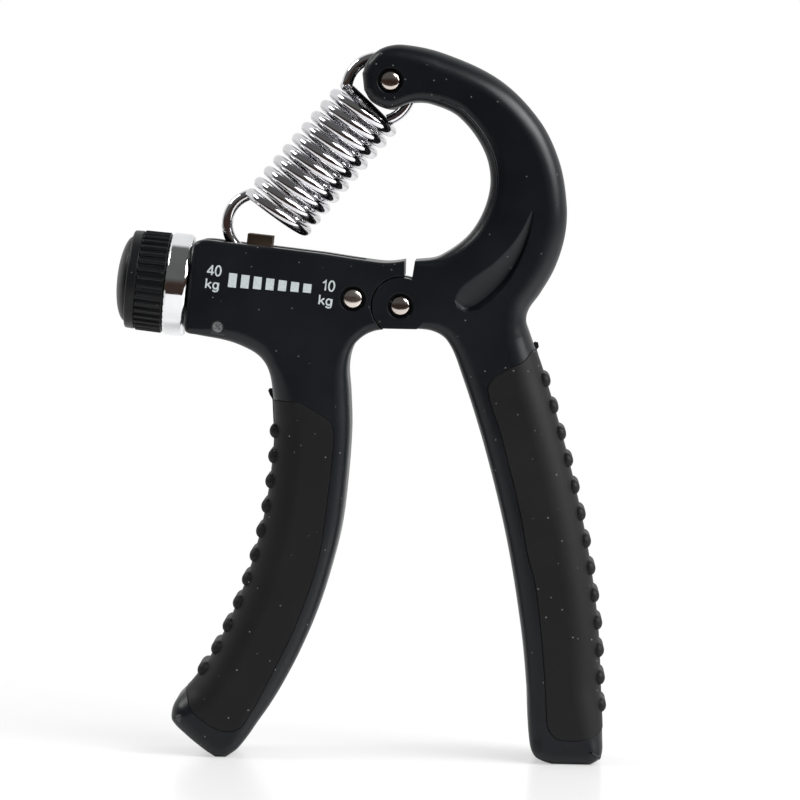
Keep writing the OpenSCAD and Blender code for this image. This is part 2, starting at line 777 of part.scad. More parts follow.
// Unbroken six-sided wire along a line of points
module wire(p) {
  d = directions(p);
  n = carried(d);
  sides = 6;
  points = [
    for (i = [0 : len(p) - 1], k = [0 : sides - 1])
      p[i] + wire_r * (n[i] * cos(k * 360 / sides) + cross(d[i], n[i]) * sin(k * 360 / sides))
  ];
  last = (len(p) - 1) * sides;
  walls = [
    for (i = [0 : len(p) - 2], k = [0 : sides - 1])
      let (a = i * sides + k, b = i * sides + (k + 1) % sides)
      each [[a, a + sides, b + sides], [a, b + sides, b]]
  ];
  caps = [for (k = [1 : sides - 2]) each [[0, k, k + 1], [last, last + k + 1, last + k]]];
  polyhedron(points, concat(walls, caps));
}

// Least gap of the wire to itself, between rings more than half a turn apart along it
function least_gap(p) = min([
  for (i = [0 : len(p) - 1], j = [i + coil_rings / 2 : 1 : len(p) - 1]) norm(p[i] - p[j])
]) - wire_d;
echo(least_gap_of_the_spring = least_gap(spring_line));

module spring() {
  color(steel) wire(spring_line);
}

module spring_lower_hook() {
  color(steel) wire(hook_line);
}

left_shell_front();
left_shell_rear();
left_grip_pad();
left_shell_screws();
right_shell_front();
right_shell_rear();
right_grip_pad();
right_shell_screws();
hinge_tongue();
hinge_bushing();
hinge_washers();
pivot_pin();
anchor_pin();
tip_pin();
spring();
spring_lower_hook();
carriage();
hook_pin();
adjusting_screw();
screw_bush();
bush_retaining_pin();
end_bearing();
thrust_washer();
retaining_clip();
knob_grip();
knob_ring();
knob_cap();
knob_screw();
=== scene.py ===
# Adjustable hand grip strengthener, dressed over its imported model
import math

import bmesh
import bpy
from mathutils import Matrix, Vector


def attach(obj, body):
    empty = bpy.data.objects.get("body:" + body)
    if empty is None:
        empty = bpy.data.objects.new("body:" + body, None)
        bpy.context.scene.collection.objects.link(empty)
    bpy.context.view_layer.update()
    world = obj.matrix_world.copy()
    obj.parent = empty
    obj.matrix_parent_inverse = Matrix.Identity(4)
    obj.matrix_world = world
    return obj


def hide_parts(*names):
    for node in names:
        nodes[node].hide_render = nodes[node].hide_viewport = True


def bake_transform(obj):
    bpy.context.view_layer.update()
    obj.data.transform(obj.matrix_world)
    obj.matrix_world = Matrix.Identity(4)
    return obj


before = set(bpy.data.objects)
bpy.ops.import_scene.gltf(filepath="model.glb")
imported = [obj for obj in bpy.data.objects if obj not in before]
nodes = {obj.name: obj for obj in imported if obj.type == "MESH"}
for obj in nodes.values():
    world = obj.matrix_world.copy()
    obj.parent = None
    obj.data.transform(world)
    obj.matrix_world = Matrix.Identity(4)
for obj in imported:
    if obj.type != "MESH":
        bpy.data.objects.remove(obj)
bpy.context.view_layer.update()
scene = bpy.context.scene
scene.view_settings.view_transform = "Standard"
mm = 0.001
print("frame loaded:", len(nodes), "nodes")

# Geometry helpers

pivot = Vector((6.8, 87.6))
tip = Vector((4.1, 130.45))
anchor = Vector((-2.3, 88.8))
hook = Vector((-21.1, 99))
barStart = Vector((-33.8, 90.4))
barTilt = math.radians(5.5)
along = Vector((math.cos(barTilt), -math.sin(barTilt)))
across = Vector((math.sin(barTilt), math.cos(barTilt)))
halfW = 9.0


def onBar(a, h):
    return barStart + along * a + across * h


def movedTo(p):
    return Matrix.Translation(Vector((p.x, 0, p.y)) * mm)


def barMatrix():  # local Z runs along the bar's axis, from its end face into the bar
    return movedTo(barStart) @ Matrix.Rotation(math.pi / 2 + barTilt, 4, "Y")


def linked(name, data):
    piece = bpy.data.objects.new(name, data)
    scene.collection.objects.link(piece)
    return piece


def meshPiece(name, points, faces, matrix=None):
    mesh = bpy.data.meshes.new(name)
    mesh.from_pydata([Vector(p) * mm for p in points], [], faces)
    mesh.validate()
    form = bmesh.new()
    form.from_mesh(mesh)
    bmesh.ops.remove_doubles(form, verts=form.verts, dist=1e-7)
    bmesh.ops.recalc_face_normals(form, faces=form.faces)
    form.to_mesh(mesh)
    form.free()
    if matrix:
        mesh.transform(matrix)
    return linked(name, mesh)


def wirePath(name, points):
    mesh = bpy.data.meshes.new(name)
    mesh.from_pydata([p * mm for p in points], [(i, i + 1) for i in range(len(points) - 1)], [])
    return linked(name, mesh)


def evaluated(piece):
    graph = bpy.context.evaluated_depsgraph_get()
    graph.update()
    return bpy.data.meshes.new_from_object(piece.evaluated_get(graph))


def applied(piece):  # turns what the modifiers make into the piece's own mesh
    mesh = evaluated(piece)
    mesh.name = piece.name
    piece.modifiers.clear()
    piece.data = mesh
    return piece


def volumeOf(mesh):
    form = bmesh.new()
    form.from_mesh(mesh)
    volume = form.calc_volume()
    form.free()
    return volume


leastKept = {"UNION": 0.98, "DIFFERENCE": 0.04, "INTERSECT": 0.04}  # share of the volume


def combine(piece, other, operation):  # the second solver steps in where the first loses the form
    least = volumeOf(piece.data) * leastKept[operation]
    for solver in ("EXACT", "MANIFOLD"):
        modifier = piece.modifiers.new("combine", "BOOLEAN")
        modifier.operation, modifier.object, modifier.solver = operation, other, solver
        mesh = evaluated(piece)
        piece.modifiers.clear()
        if volumeOf(mesh) > least:
            piece.data = mesh
            bpy.data.objects.remove(other)
            return piece
    raise RuntimeError("nothing left of " + piece.name)


def cut(piece, *cutters):
    for cutter in cutters:
        combine(piece, cutter, "DIFFERENCE")
    return piece


def smoothed(piece, angle=32):
    piece.data.shade_smooth()
    piece.data.set_sharp_from_angle(angle=math.radians(angle))
    modifier = piece.modifiers.new("faces", "WEIGHTED_NORMAL")
    modifier.keep_sharp = True
    return applied(piece)


def stack(rings):  # joins rings of equal length into a solid with flat ends
    count = len(rings[0])
    faces = [
        (k * count + i, k * count + (i + 1) % count, (k + 1) * count + (i + 1) % count, (k + 1) * count + i)
        for k in range(len(rings) - 1) for i in range(count)
    ]
    faces.append(tuple(range(count))[::-1])
    faces.append(tuple(range((len(rings) - 1) * count, len(rings) * count)))
    return [p for ring in rings for p in ring], faces


def circle(radius, sides):
    angles = [2 * math.pi * i / sides for i in range(sides)]
    return [(radius * math.cos(angle), radius * math.sin(angle)) for angle in angles]


def turned(name, profile, matrix=None, sides=64):  # profile holds (radius, height) from bottom to top
    points, faces = stack([[(x, y, z) for x, y in circle(r, sides)] for r, z in profile if r > 0])
    piece = meshPiece(name, points, faces)
    form = bmesh.new()
    form.from_mesh(piece.data)
    for face in [f for f in form.faces if len(f.verts) > 4]:
        bmesh.ops.poke(form, faces=[face])
    if profile[-1][0] == 0:
        top = max((v for v in form.verts), key=lambda v: v.co.z)
        top.co.z = profile[-1][1] * mm
    form.to_mesh(piece.data)
    form.free()
    if matrix:
        piece.data.transform(matrix)
    return piece


def rodAlongY(name, place, radius, y0, y1, sides=64):
    rings = [[(place.x + x, y, place.y + z) for x, z in circle(radius, sides)] for y in (y0, y1)]
    return meshPiece(name, *stack(rings))


def prism(name, outline, y0, y1):
    return meshPiece(name, *stack([[(x, y, z) for x, z in outline] for y in (y0, y1)]))


def block(name, low, high, matrix=None):
    x0, y0, z0 = low
    x1, y1, z1 = high
    rings = [[(x0, y0, z), (x1, y0, z), (x1, y1, z), (x0, y1, z)] for z in (z0, z1)]
    return meshPiece(name, *stack(rings), matrix)


def barBlock(name, a0, a1, h0, h1, y):  # a along the bar, h above its axis, y either side
    return block(name, (-h1, -y, a0), (-h0, y, a1), barMatrix())


# Outlines of the two handles

palmEdge, fingerEdge, barEdge, lowerEdge, endEdge, topEdge, earEdge = 6, 3.2, 1.8, 2.8, 1.2, 0.55, 0.4


def edged(radius, *points):
    return [(x, z, radius) for x, z in points]


handleLines = {  # both sides from the foot up as x, z, edge radius, and 0 at a corner
    "leftPalm": [
        (-27.3, 0, 2, 0), (-29.4, 1.3, 2), (-33.3, 4.3, 2.5), (-35.8, 7, 3), (-35.4, 10.2, 4),
        *edged(palmEdge, (-32.5, 13.6), (-28.7, 19), (-25.1, 26.2), (-21.8, 34.8), (-19.2, 44.6),
               (-17.7, 54), (-17.1, 63)),
        (-17.5, 70.5, 4), (-18.4, 75, 2.5), (-20.4, 77.6, lowerEdge), (-23.8, 79.4, lowerEdge),
        (-27, 80.4, 2.4), (-32, 81.3, 1.4),
        *edged(endEdge, (-34.2, 81.9), (-34.5, 84), (-33.2, 97.4), (-32.6, 99)),
        *edged(topEdge, (-30.8, 99.5), (-26.5, 99.1), (-18, 98.3)),
    ],
    "leftFingers": [
        (-25.3, 0, 2, 0), (-23.2, 1.5, 2), (-21.3, 3.8, 2.5),
        *edged(fingerEdge, (-19.4, 6.6), (-16.9, 10.3), (-14.4, 14.6), (-11.3, 20.8), (-8.1, 28.6),
               (-5.7, 36.6), (-3.9, 44.6), (-2.9, 54), (-2.4, 63.4), (-2.7, 70.5)),
        (-3.1, 75.5, 2.5), *edged(barEdge, (-2.3, 79.3), (-0.4, 81.5), (2, 82.7)),
        (5, 83.1, earEdge), (9, 83.2, earEdge), (12, 83.3, earEdge, 0), (12, 97.6, topEdge, 0),
        *edged(topEdge, (7.4, 96.25), (4, 95.8), (-0.3, 96.2), (-8, 97.25)),
    ],
    "rightFingers": [
        (37.5, 0, 2, 0), (34.2, 1.4, 2),
        *edged(fingerEdge, (33, 5), (32.3, 15), (31, 26.4), (28, 43), (23.6, 60), (18.8, 74.5)),
        (15.9, 81, 2.5), (12.6, 83, barEdge), (7, 83.2, earEdge, 0),
        (7, 96.4, 1, 0), (10, 96.3, 1), (14.3, 97.2, 2),
        *edged(fingerEdge, (20.3, 102.2), (23.4, 110), (22.4, 117), (17.4, 123.7)),
        (12, 126.2, 2.5), *edged(2, (8.3, 126.4), (4.3, 125.05), (0.7, 126.3), (-0.9, 128.6)),
    ],
    "rightPalm": [
        (44.8, 0, 2, 0), (46.9, 1.4, 2.5), (47.2, 5, 4),
        *edged(palmEdge, (46.7, 14.5), (45.8, 27.5), (43.2, 43.6), (39.2, 59.8), (34.5, 75)),
        (31.7, 82.6, 5),
        *edged(4, (30.9, 85.2), (31.4, 87.4), (33.4, 90.3), (36.2, 95.4), (38, 101.6),
               (38.2, 107.6), (36.6, 115.8), (32.6, 123.6), (25, 131), (14.5, 135.8)),
        (6.4, 137.4, 3), *edged(2, (2.3, 136.6), (-0.3, 134.2), (-1.3, 131.8)),
    ],
    "leftPad": [
        (-40, 68.9), (-13.1, 68.9), (-9.5, 67.2), (-5.9, 64.4), (-5.8, 57.7), (-6.6, 49.2),
        (-7.9, 39.2), (-9.7, 32.8), (-12.6, 24.9), (-15.5, 18.7), (-18.5, 12.5), (-20.9, 8.2),
        (-22.9, 5.6), (-26.6, 5.4), (-32, 9.1), (-33.7, 12.8), (-40, 13.5),
    ],
    "rightPad": [
        (52, 80.4), (33, 79.8), (30.5, 77.4), (27.5, 75.9), (24.6, 73.8), (23.8, 72.1),
        (24.7, 68.4), (26.3, 63.9), (27.8, 58.5), (29.4, 52.7), (31, 45.8), (31.9, 40.9),
        (33.5, 35.1), (34.8, 26.3), (35.8, 16.3), (36.2, 10.5), (36.7, 6.9), (38.8, 4.9),
        (45.2, 5.3), (47.9, 7.3), (52, 7.3),
    ],
    "padThickness": 1.5,
    "padProud": 0.1,
    "padGap": 0.07,
    "partingChamfer": 0.14,
    "stepsPerPoint": 8,
    "edgeSteps": 9,
}


def hermite(a, b, da, db, t):
    return a * (2 * t**3 - 3 * t**2 + 1) + b * (3 * t**2 - 2 * t**3) + da * (t**3 - 2 * t**2 + t) + db * (t**3 - t**2)


def sidePoints(control, first, last, steps):  # a smooth line through the control points
    def lean(i):
        if len(control[i]) == 4:
            return Vector((0, 0))
        before, after = control[max(i - 1, 0)], control[min(i + 1, len(control) - 1)]
        return (Vector(after[:2]) - Vector(before[:2])).normalized()

    points = []
    for i in range(first, last):
        a, b = Vector(control[i][:2]), Vector(control[i + 1][:2])
        reach = (b - a).length
        for k in range(steps):
            t = k / steps
            place = hermite(a, b, lean(i) * reach, lean(i + 1) * reach, t)
            radius = control[i][2] * (1 - t) + control[i + 1][2] * t
            points.append([place, radius, k == 0 and len(control[i]) == 4])
    points.append([Vector(control[last][:2]), control[last][2], len(control[last]) == 4])
    return points


leftSides, rightSides = ("leftPalm", "leftFingers"), ("rightFingers", "rightPalm")


def handleLoop(sides, first, last, steps):
    left, right = (sidePoints(handleLines[side], first, last, steps) for side in sides)
    loop = left + right[::-1]
    count = len(loop)
    kept = []
    for i, point in enumerate(loop):  # points beside a corner would fold where the edge is rounded
        near = [loop[(i + k) % count] for k in range(-steps, steps + 1)]
        folds = any(
            other[2] and (other[0] - point[0]).length < 1.1 * other[1] * (1 if other[1] < 1 else 0.4)
            for other in near
        )
        if point[2] or not folds:
            kept.append(point)
    count = len(kept)
    for i, point in enumerate(kept):  # an edge can't be rounder than the outline itself turns
        a, b, c = kept[i - 1][0], point[0], kept[(i + 1) % count][0]
        u, v = b - a, c - b
        turn = u.angle_signed(v)
        if not point[2] and turn > 1e-3:
            point[1] = min(point[1], 0.85 * (u.length + v.length) / 2 / turn)
    return kept


def handleRing(loop, inset, angle, flat=0.0):
    count = len(loop)
    ring = []
    for i, (place, radius, corner) in enumerate(loop):
        u = (place - loop[i - 1][0]).normalized()
        v = (loop[(i + 1) % count][0] - place).normalized()
        nu, nv = Vector((-u.y, u.x)), Vector((-v.y, v.x))
        middle = (nu + nv).normalized()
        outward = middle / max(middle.dot(nu), 0.6)
        r = max(radius - inset, 0.4)
        d = inset + flat + r * (1 - math.cos(angle))
        q = place - outward * d
        ring.append((q.x, halfW - inset - r * (1 - math.sin(angle)), q.y))
    return ring


def handleForm(name, sides, inset=0.0, half=0, span=None, steps=None):  # half is -1 front, 1 rear
    span = span or (0, len(handleLines[sides[0]]) - 1)
    loop = handleLoop(sides, *span, steps or handleLines["stepsPerPoint"])
    edgeSteps = handleLines["edgeSteps"]
    rounded = [handleRing(loop, inset, math.pi / 2 * k / edgeSteps) for k in range(edgeSteps + 1)]
    if half:
        seam = handleLines["partingChamfer"]
        rings = [[(x, 0, z) for x, y, z in handleRing(loop, inset, 0, seam)],
                 [(x, seam, z) for x, y, z in rounded[0]]] + rounded
        rings = [[(x, half * y, z) for x, y, z in ring] for ring in rings]
    else:
        rings = [[(x, -y, z) for x, y, z in ring] for ring in rounded[::-1]] + rounded
    return meshPiece(name, *stack(rings))


def padOutline(line, shrink=0.0):
    control = [(x, z, 0) for x, z in handleLines[line]]
    points = [p[0] for p in sidePoints(control, 0, len(control) - 1, 6)]
    if not shrink:
        return [(p.x, p.y) for p in points]
    centre = sum(points, Vector((0, 0))) / len(points)
    shrunk = []
    for i, p in enumerate(points):
        way = (points[(i + 1) % len(points)] - points[i - 1]).normalized()
        inward = Vector((-way.y, way.x))
        if inward.dot(centre - p) < -1:
            inward = -inward
        shrunk.append(tuple(p + inward * shrink))
    return shrunk


# Materials

def feed(tree, node, inputs):  # an input gets a socket's link or a plain value
    for key, value in inputs.items():
        if isinstance(value, bpy.types.NodeSocket):
            tree.links.new(value, node.inputs[key])
        else:
            node.inputs[key].default_value = value
    return node


def add(tree, kind, inputs=None, **settings):
    node = tree.nodes.new(kind)
    for key, value in settings.items():
        setattr(node, key, value)
    return feed(tree, node, inputs or {})


def shader(name, color, roughness, metallic=0.0, specular=0.5):
    material = bpy.data.materials.new(name)
    material.use_nodes = True
    tree = material.node_tree
    main = feed(tree, tree.nodes["Principled BSDF"], {
        "Base Color": (*color, 1), "Roughness": roughness, "Metallic": metallic, "Specular IOR Level": specular,
    })
    return material, tree, main


def objectNoise(tree, size, detail=3.0, stretch=(1, 1, 1)):  # noise with features of that size in mm
    where = add(tree, "ShaderNodeTexCoord").outputs["Object"]
    mapping = add(tree, "ShaderNodeMapping", {"Vector": where, "Scale": stretch})
    inputs = {"Vector": mapping.outputs["Vector"], "Scale": 1 / (size * mm), "Detail": detail}
    return add(tree, "ShaderNodeTexNoise", inputs).outputs["Fac"]


def ranged(tree, value, low, high, fromLow=0.3, fromHigh=0.7, **settings):
    limits = {"From Min": fromLow, "From Max": fromHigh, "To Min": low, "To Max": high}
    return add(tree, "ShaderNodeMapRange", {"Value": value, **limits}, **settings).outputs["Result"]


def blended(tree, share, *colors):
    inputs = {key: (*color, 1) if isinstance(color, tuple) else color for key, color in zip("AB", colors)}
    return add(tree, "ShaderNodeMix", {"Factor": share, **inputs}, data_type="RGBA").outputs["Result"]


def bumped(tree, main, layers, edge=0.0):  # layers hold (height value, distance in mm, strength)
    inputs = {}
    if edge:
        inputs["Normal"] = add(tree, "ShaderNodeBevel", {"Radius": edge * mm}, samples=6).outputs["Normal"]
    for value, distance, strength in layers:
        inputs.update({"Height": value, "Distance": distance * mm, "Strength": strength})
        inputs["Normal"] = add(tree, "ShaderNodeBump", inputs).outputs["Normal"]
    feed(tree, main, {"Normal": inputs["Normal"]})


plasticLook = {
    "shell": {"color": (0.0032, 0.004, 0.0058), "worn": (0.0046, 0.0056, 0.0076), "roughness": (0.3, 0.4),
              "grain": 0.14, "grainDepth": 0.006, "specks": 0.07, "edge": 0.2, "specular": 0.3},
    "knob": {"color": (0.0045, 0.005, 0.006), "worn": (0.0065, 0.007, 0.008), "roughness": (0.32, 0.42),
             "grain": 0.12, "grainDepth": 0.006, "specks": 0.05, "edge": 0.12, "specular": 0.2},
    "rubber": {"color": (0.0036, 0.0036, 0.0041), "worn": (0.0054, 0.0054, 0.006), "roughness": (0.5, 0.62),
               "grain": 0.2, "grainDepth": 0.012, "specks": 0.085, "edge": 0.25, "specular": 0.25},
    "cloud": 14, "speckGap": 2.2, "speckColor": (0.16, 0.16, 0.16),
}


def dustSpecks(tree, share):  # 1 on small sparse specks, 0 elsewhere
    where = add(tree, "ShaderNodeTexCoord").outputs["Object"]
    cells = add(tree, "ShaderNodeTexVoronoi", {"Vector": where, "Scale": 1 / (plasticLook["speckGap"] * mm)})
    return ranged(tree, cells.outputs["Distance"], 1, 0, share * 0.6, share)


def plastic(name, kind):
    look = plasticLook[kind]
    material, tree, main = shader(name, look["color"], look["roughness"][0], specular=look["specular"])
    cloud = objectNoise(tree, plasticLook["cloud"], 4)
    fine = objectNoise(tree, look["grain"], 2)
    tint = blended(tree, ranged(tree, cloud, 0, 1), look["color"], look["worn"])
    dusty = blended(tree, dustSpecks(tree, look["specks"]), tint, plasticLook["speckColor"])
    rough = {0: ranged(tree, cloud, *look["roughness"]), 1: ranged(tree, fine, -0.03, 0.03)}
    rough = add(tree, "ShaderNodeMath", rough, operation="ADD").outputs[0]
    feed(tree, main, {"Base Color": dusty, "Roughness": rough})
    bumped(tree, main, [(fine, look["grainDepth"], 0.6), (cloud, 0.05, 0.25)], look["edge"])
    return material


metalLook = {  # color, dull color, roughness from and to, scratch depth and edge radius in mm
    "springChrome": ((0.7, 0.7, 0.73), (0.6, 0.59, 0.6), (0.05, 0.09), 0.0006, 0.0),
    "ringChrome": ((0.8, 0.81, 0.82), (0.7, 0.71, 0.72), (0.04, 0.09), 0.002, 0.15),
    "pinSteel": ((0.66, 0.6, 0.55), (0.5, 0.44, 0.4), (0.1, 0.2), 0.003, 0.0),
    "plainSteel": ((0.5, 0.5, 0.5), (0.36, 0.36, 0.36), (0.24, 0.4), 0.01, 0.12),
    "turnedBrass": ((0.58, 0.42, 0.18), (0.4, 0.28, 0.12), (0.22, 0.38), 0.008, 0.12),
    "darkBronze": ((0.2, 0.155, 0.115), (0.12, 0.088, 0.064), (0.4, 0.55), 0.012, 0.2),
}


def metal(name):
    color, dull, roughness, scratch, edge = metalLook[name]
    material, tree, main = shader(name, color, roughness[0], metallic=1.0)
    cloud = objectNoise(tree, 5, 4)
    scratches = objectNoise(tree, 0.25, 3, (1, 9, 1))
    tint = blended(tree, ranged(tree, cloud, 1, 0), color, dull)
    feed(tree, main, {"Base Color": tint, "Roughness": ranged(tree, cloud, *roughness)})
    bumped(tree, main, [(scratches, scratch, 0.4)], edge)
    return material


def paint(name, color, roughness):
    material, tree, main = shader(name, color, roughness)
    wear = objectNoise(tree, 0.5, 4)
    tint = blended(tree, ranged(tree, wear, 0, 1), color, tuple(c * 0.82 for c in color))
    feed(tree, main, {"Base Color": tint, "Roughness": ranged(tree, wear, roughness, roughness + 0.15)})
    bumped(tree, main, [(wear, 0.01, 0.4)])
    return material


shellPlastic = plastic("shellPlastic", "shell")
knobPlastic = plastic("knobPlastic", "knob")
gripRubber = plastic("gripRubber", "rubber")
springChrome, ringChrome, pinSteel = metal("springChrome"), metal("ringChrome"), metal("pinSteel")
plainSteel, turnedBrass, darkBronze = metal("plainSteel"), metal("turnedBrass"), metal("darkBronze")
markPaint = paint("markPaint", (0.56, 0.62, 0.62), 0.5)
# lighter paint for the notch walls: partly wear, partly a painted reflection
channelPlastic = paint("channelPlastic", (0.035, 0.037, 0.04), 0.5)
plugGrey = paint("plugGrey", (0.16, 0.17, 0.17), 0.45)
print("materials made")


def dress(piece, material, body, slot, *replaced):
    piece.data.materials.clear()
    piece.data.materials.append(material)
    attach(piece, body)
    if replaced:
        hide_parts(*replaced)
    print("piece", piece.name, len(piece.data.polygons))
    return piece


# Geometry Nodes trees

def geometryTree(name, *inputs):
    tree = bpy.data.node_groups.new(name, "GeometryNodeTree")
    tree.interface.new_socket("Geometry", in_out="OUTPUT", socket_type="NodeSocketGeometry")
    for label, kind in (("Geometry", "Geometry"), *inputs, ("Material", "Material")):
        tree.interface.new_socket(label, in_out="INPUT", socket_type="NodeSocket" + kind)
    return tree, tree.nodes.new("NodeGroupInput")


def finishTree(tree, source, geometry):  # every tree ends in plain, smooth mesh with its material
    smooth = add(tree, "GeometryNodeSetShadeSmooth", {0: geometry})
    realize = add(tree, "GeometryNodeRealizeInstances", {0: smooth.outputs[0]})
    inputs = {0: realize.outputs[0], "Material": source.outputs["Material"]}
    add(tree, "NodeGroupOutput", {0: add(tree, "GeometryNodeSetMaterial", inputs).outputs[0]})
    return tree


def repeatTree():  # puts the part on every point, turned by the points' own angles
    tree, source = geometryTree("repeatPart", ("Part", "Object"), ("Size", "Float"))
    part = add(tree, "GeometryNodeObjectInfo", {"Object": source.outputs["Part"]})
    angles = add(tree, "GeometryNodeInputNamedAttribute", {"Name": "turn"}, data_type="FLOAT_VECTOR")
    rotation = add(tree, "FunctionNodeEulerToRotation", {0: angles.outputs["Attribute"]})
    place = add(tree, "GeometryNodeInstanceOnPoints", {
        "Points": source.outputs["Geometry"], "Instance": part.outputs["Geometry"],
        "Rotation": rotation.outputs[0], "Scale": source.outputs["Size"],
    })
    return finishTree(tree, source, place.outputs[0])


def wireTree():  # sweeps a round wire along the edges of a path
    tree, source = geometryTree("wireAlongPath", ("Wire Radius", "Float"), ("Sides", "Int"))
    path = add(tree, "GeometryNodeMeshToCurve", {0: source.outputs["Geometry"]})
    section = {"Radius": source.outputs["Wire Radius"], "Resolution": source.outputs["Sides"]}
    section = add(tree, "GeometryNodeCurvePrimitiveCircle", section)
    inputs = {"Curve": path.outputs[0], "Profile Curve": section.outputs[0], "Fill Caps": True}
    return finishTree(tree, source, add(tree, "GeometryNodeCurveToMesh", inputs).outputs[0])


repeatPart, wireAlongPath = repeatTree(), wireTree()


def grown(piece, tree, **values):  # runs a tree on the piece and keeps what it makes
    modifier = piece.modifiers.new("grow", "NODES")
    modifier.node_group = tree
    for item in tree.interface.items_tree:
        label = item.name.replace(" ", "")
        if item.in_out == "INPUT" and label in values:
            modifier[item.identifier] = values[label]
    return applied(piece)


def repeated(name, part, places, turns, material):  # the part on every place, turned
    mesh = bpy.data.meshes.new(name)
    mesh.from_pydata([Vector(p) * mm for p in places], [], [])
    angles = mesh.attributes.new("turn", "FLOAT_VECTOR", "POINT")
    for i, turn in enumerate(turns):
        angles.data[i].vector = turn
    piece = grown(linked(name, mesh), repeatPart, Part=part, Size=1.0, Material=material)
    bpy.data.objects.remove(part)
    return piece


# Hinge pins

pinShape = {"shank": 1.7, "head": 1.93, "base": 7.9, "rim": 8.25, "top": 9.02, "soft": 0.08,
            "recess": 2.5, "recessDepth": 1.1}
quarterTurn = Matrix.Rotation(math.pi / 2, 4, "X")


def pinRecess(place, side):
    r, y = pinShape["recess"], halfW - pinShape["recessDepth"]
    return rodAlongY("pinRecess", place, r, *sorted((side * y, side * (halfW + 1))))


def domedPin(name, place, body):
    shank, head, base, rim, top, soft = (pinShape[key] for key in ("shank", "head", "base", "rim", "top", "soft"))
    steps = [t * math.pi / 24 for t in range(12)]
    upper = [(shank, base), (head - soft, base), (head, base + soft)]
    upper += [(head * math.cos(a), rim + (top - rim) * math.sin(a)) for a in steps]
    piece = turned(name, [(r, -h) for r, h in upper[::-1]] + upper, movedTo(place) @ quarterTurn)
    dress(smoothed(piece, 50), pinSteel, body, "pin_steel", name.replace("Pin", "_pin"))


domedPin("pivotPin", pivot, "moving_handle")
domedPin("anchorPin", anchor, "fixed_handle")
domedPin("tipPin", tip, "tip_pin")

# Fixed handle

leftHandle = {
    "earClear": 5.7, "slitX": 7.4, "bushBore": 4.52, "hollow": (5.2, 26.45, 4.6), "slot": (1.6, 33.0, 3.4),
    "plug": (6.44, -6.85), "plugRadius": 1.12, "notchHalf": 1.2, "notchDepth": 0.45, "inside": [(5, 11, 3.9)],
    "screws": [(-15.3, 30), (-9.8, 60), (-10, 80)], "screwRecess": (2.5, 4.4),
}


def padRecess(sides, line):
    recess = prism("recess", padOutline(line), -halfW - 1, halfW + 1)
    return cut(recess, handleForm("floor", sides, handleLines["padThickness"]))


def hollows(sides, rooms):  # coarser forms inside the handle, from point to point, that deep
    return [handleForm("inside", sides, deep, 0, (first, last), 4) for first, last, deep in rooms]


def screwHoles(rear, places):
    radius, floor = leftHandle["screwRecess"]
    cut(rear, *[rodAlongY("screw", Vector(place), radius, floor, 10) for place in places])


def pinBore(place):
    return rodAlongY("bore", place, pinShape["shank"] + 0.05, -10, 10)


def mirroredCopy(piece, name):  # the same form on the other side of the parting plane
    mesh = piece.data.copy()
    mesh.transform(Matrix.Diagonal((1, -1, 1, 1)))
    mesh.flip_normals()
    return linked(name, mesh)


def leftShells():
    hollowA, hollowB, hollowH = leftHandle["hollow"]
    slotA, slotB, slotY = leftHandle["slot"]
    plugA, plugH = leftHandle["plug"]
    front = handleForm("leftShellFront", leftSides, 0, -1)
    cut(
        front,
        padRecess(leftSides, "leftPad"),
        block("slit", (leftHandle["slitX"], -10, 80), (20, 10, 110)),
        rodAlongY("ear", pivot, leftHandle["earClear"], -10, 10, 128),
        pinBore(anchor),
        pinRecess(anchor, -1),
        *hollows(leftSides, leftHandle["inside"]),
        turned("bushBore", [(leftHandle["bushBore"], -2), (leftHandle["bushBore"], hollowA + 0.3)], barMatrix()),
        barBlock("hollow", hollowA, hollowB, -hollowH, hollowH, hollowH),
        barBlock("slot", slotA, slotB, hollowH - 0.1, 12, slotY),
        rodAlongY("lockHole", onBar(plugA, plugH), leftHandle["plugRadius"] + 0.03, -10, 10),
    )
    rear = mirroredCopy(front, "leftShellRear")
    notch = leftHandle["notchHalf"]
    low, high = -halfW - 1, -halfW + leftHandle["notchDepth"]
    cut(
        front,
        block("notch", (-plugH, low, plugA - notch), (-plugH + 4, high, plugA + notch), barMatrix()),
        rodAlongY("notchEnd", onBar(plugA, plugH), notch, low, high),
    )
    screwHoles(rear, leftHandle["screws"])
    front = dress(smoothed(front), shellPlastic, "fixed_handle", "black_shell", "left_shell_front")
    front.data.materials.append(channelPlastic)
    for face in front.data.polygons:  # the notch and the low walls below it are painted lighter, partly as wear and partly as a painted reflection
        place = face.center / mm
        offset = Vector((place.x, place.z)) - onBar(plugA, plugH)
        inNotch = abs(offset.dot(along)) < notch + 0.05 and offset.dot(across) < notch
        onWall = place.y > -halfW + 0.02 or abs(face.normal.y) < 0.7
        if inNotch and onWall and place.y < high + 0.1:
            face.material_index = 1
    dress(smoothed(rear), shellPlastic, "fixed_handle", "black_shell", "left_shell_rear")


ribShape = {"tall": 1.5, "proud": 1.25, "sunk": 0.35, "length": 12.6, "sides": 20, "rounds": 6}


def ribPart():  # a short bar across the palm with rounded ends
    tall, proud, rounds = ribShape["tall"], ribShape["proud"], ribShape["rounds"]
    rings = []
    for k in list(range(1 - rounds, 1)) + list(range(rounds)):
        turn = math.pi / 2 * abs(k) / rounds
        side = -1 if len(rings) < rounds else 1
        y = side * (ribShape["length"] / 2 - tall + tall * math.sin(turn))
        ring = circle(1, ribShape["sides"])
        rings.append([(proud * math.cos(turn) * x, y, tall * math.cos(turn) * z) for x, z in ring])
    return meshPiece("rib", *stack(rings))


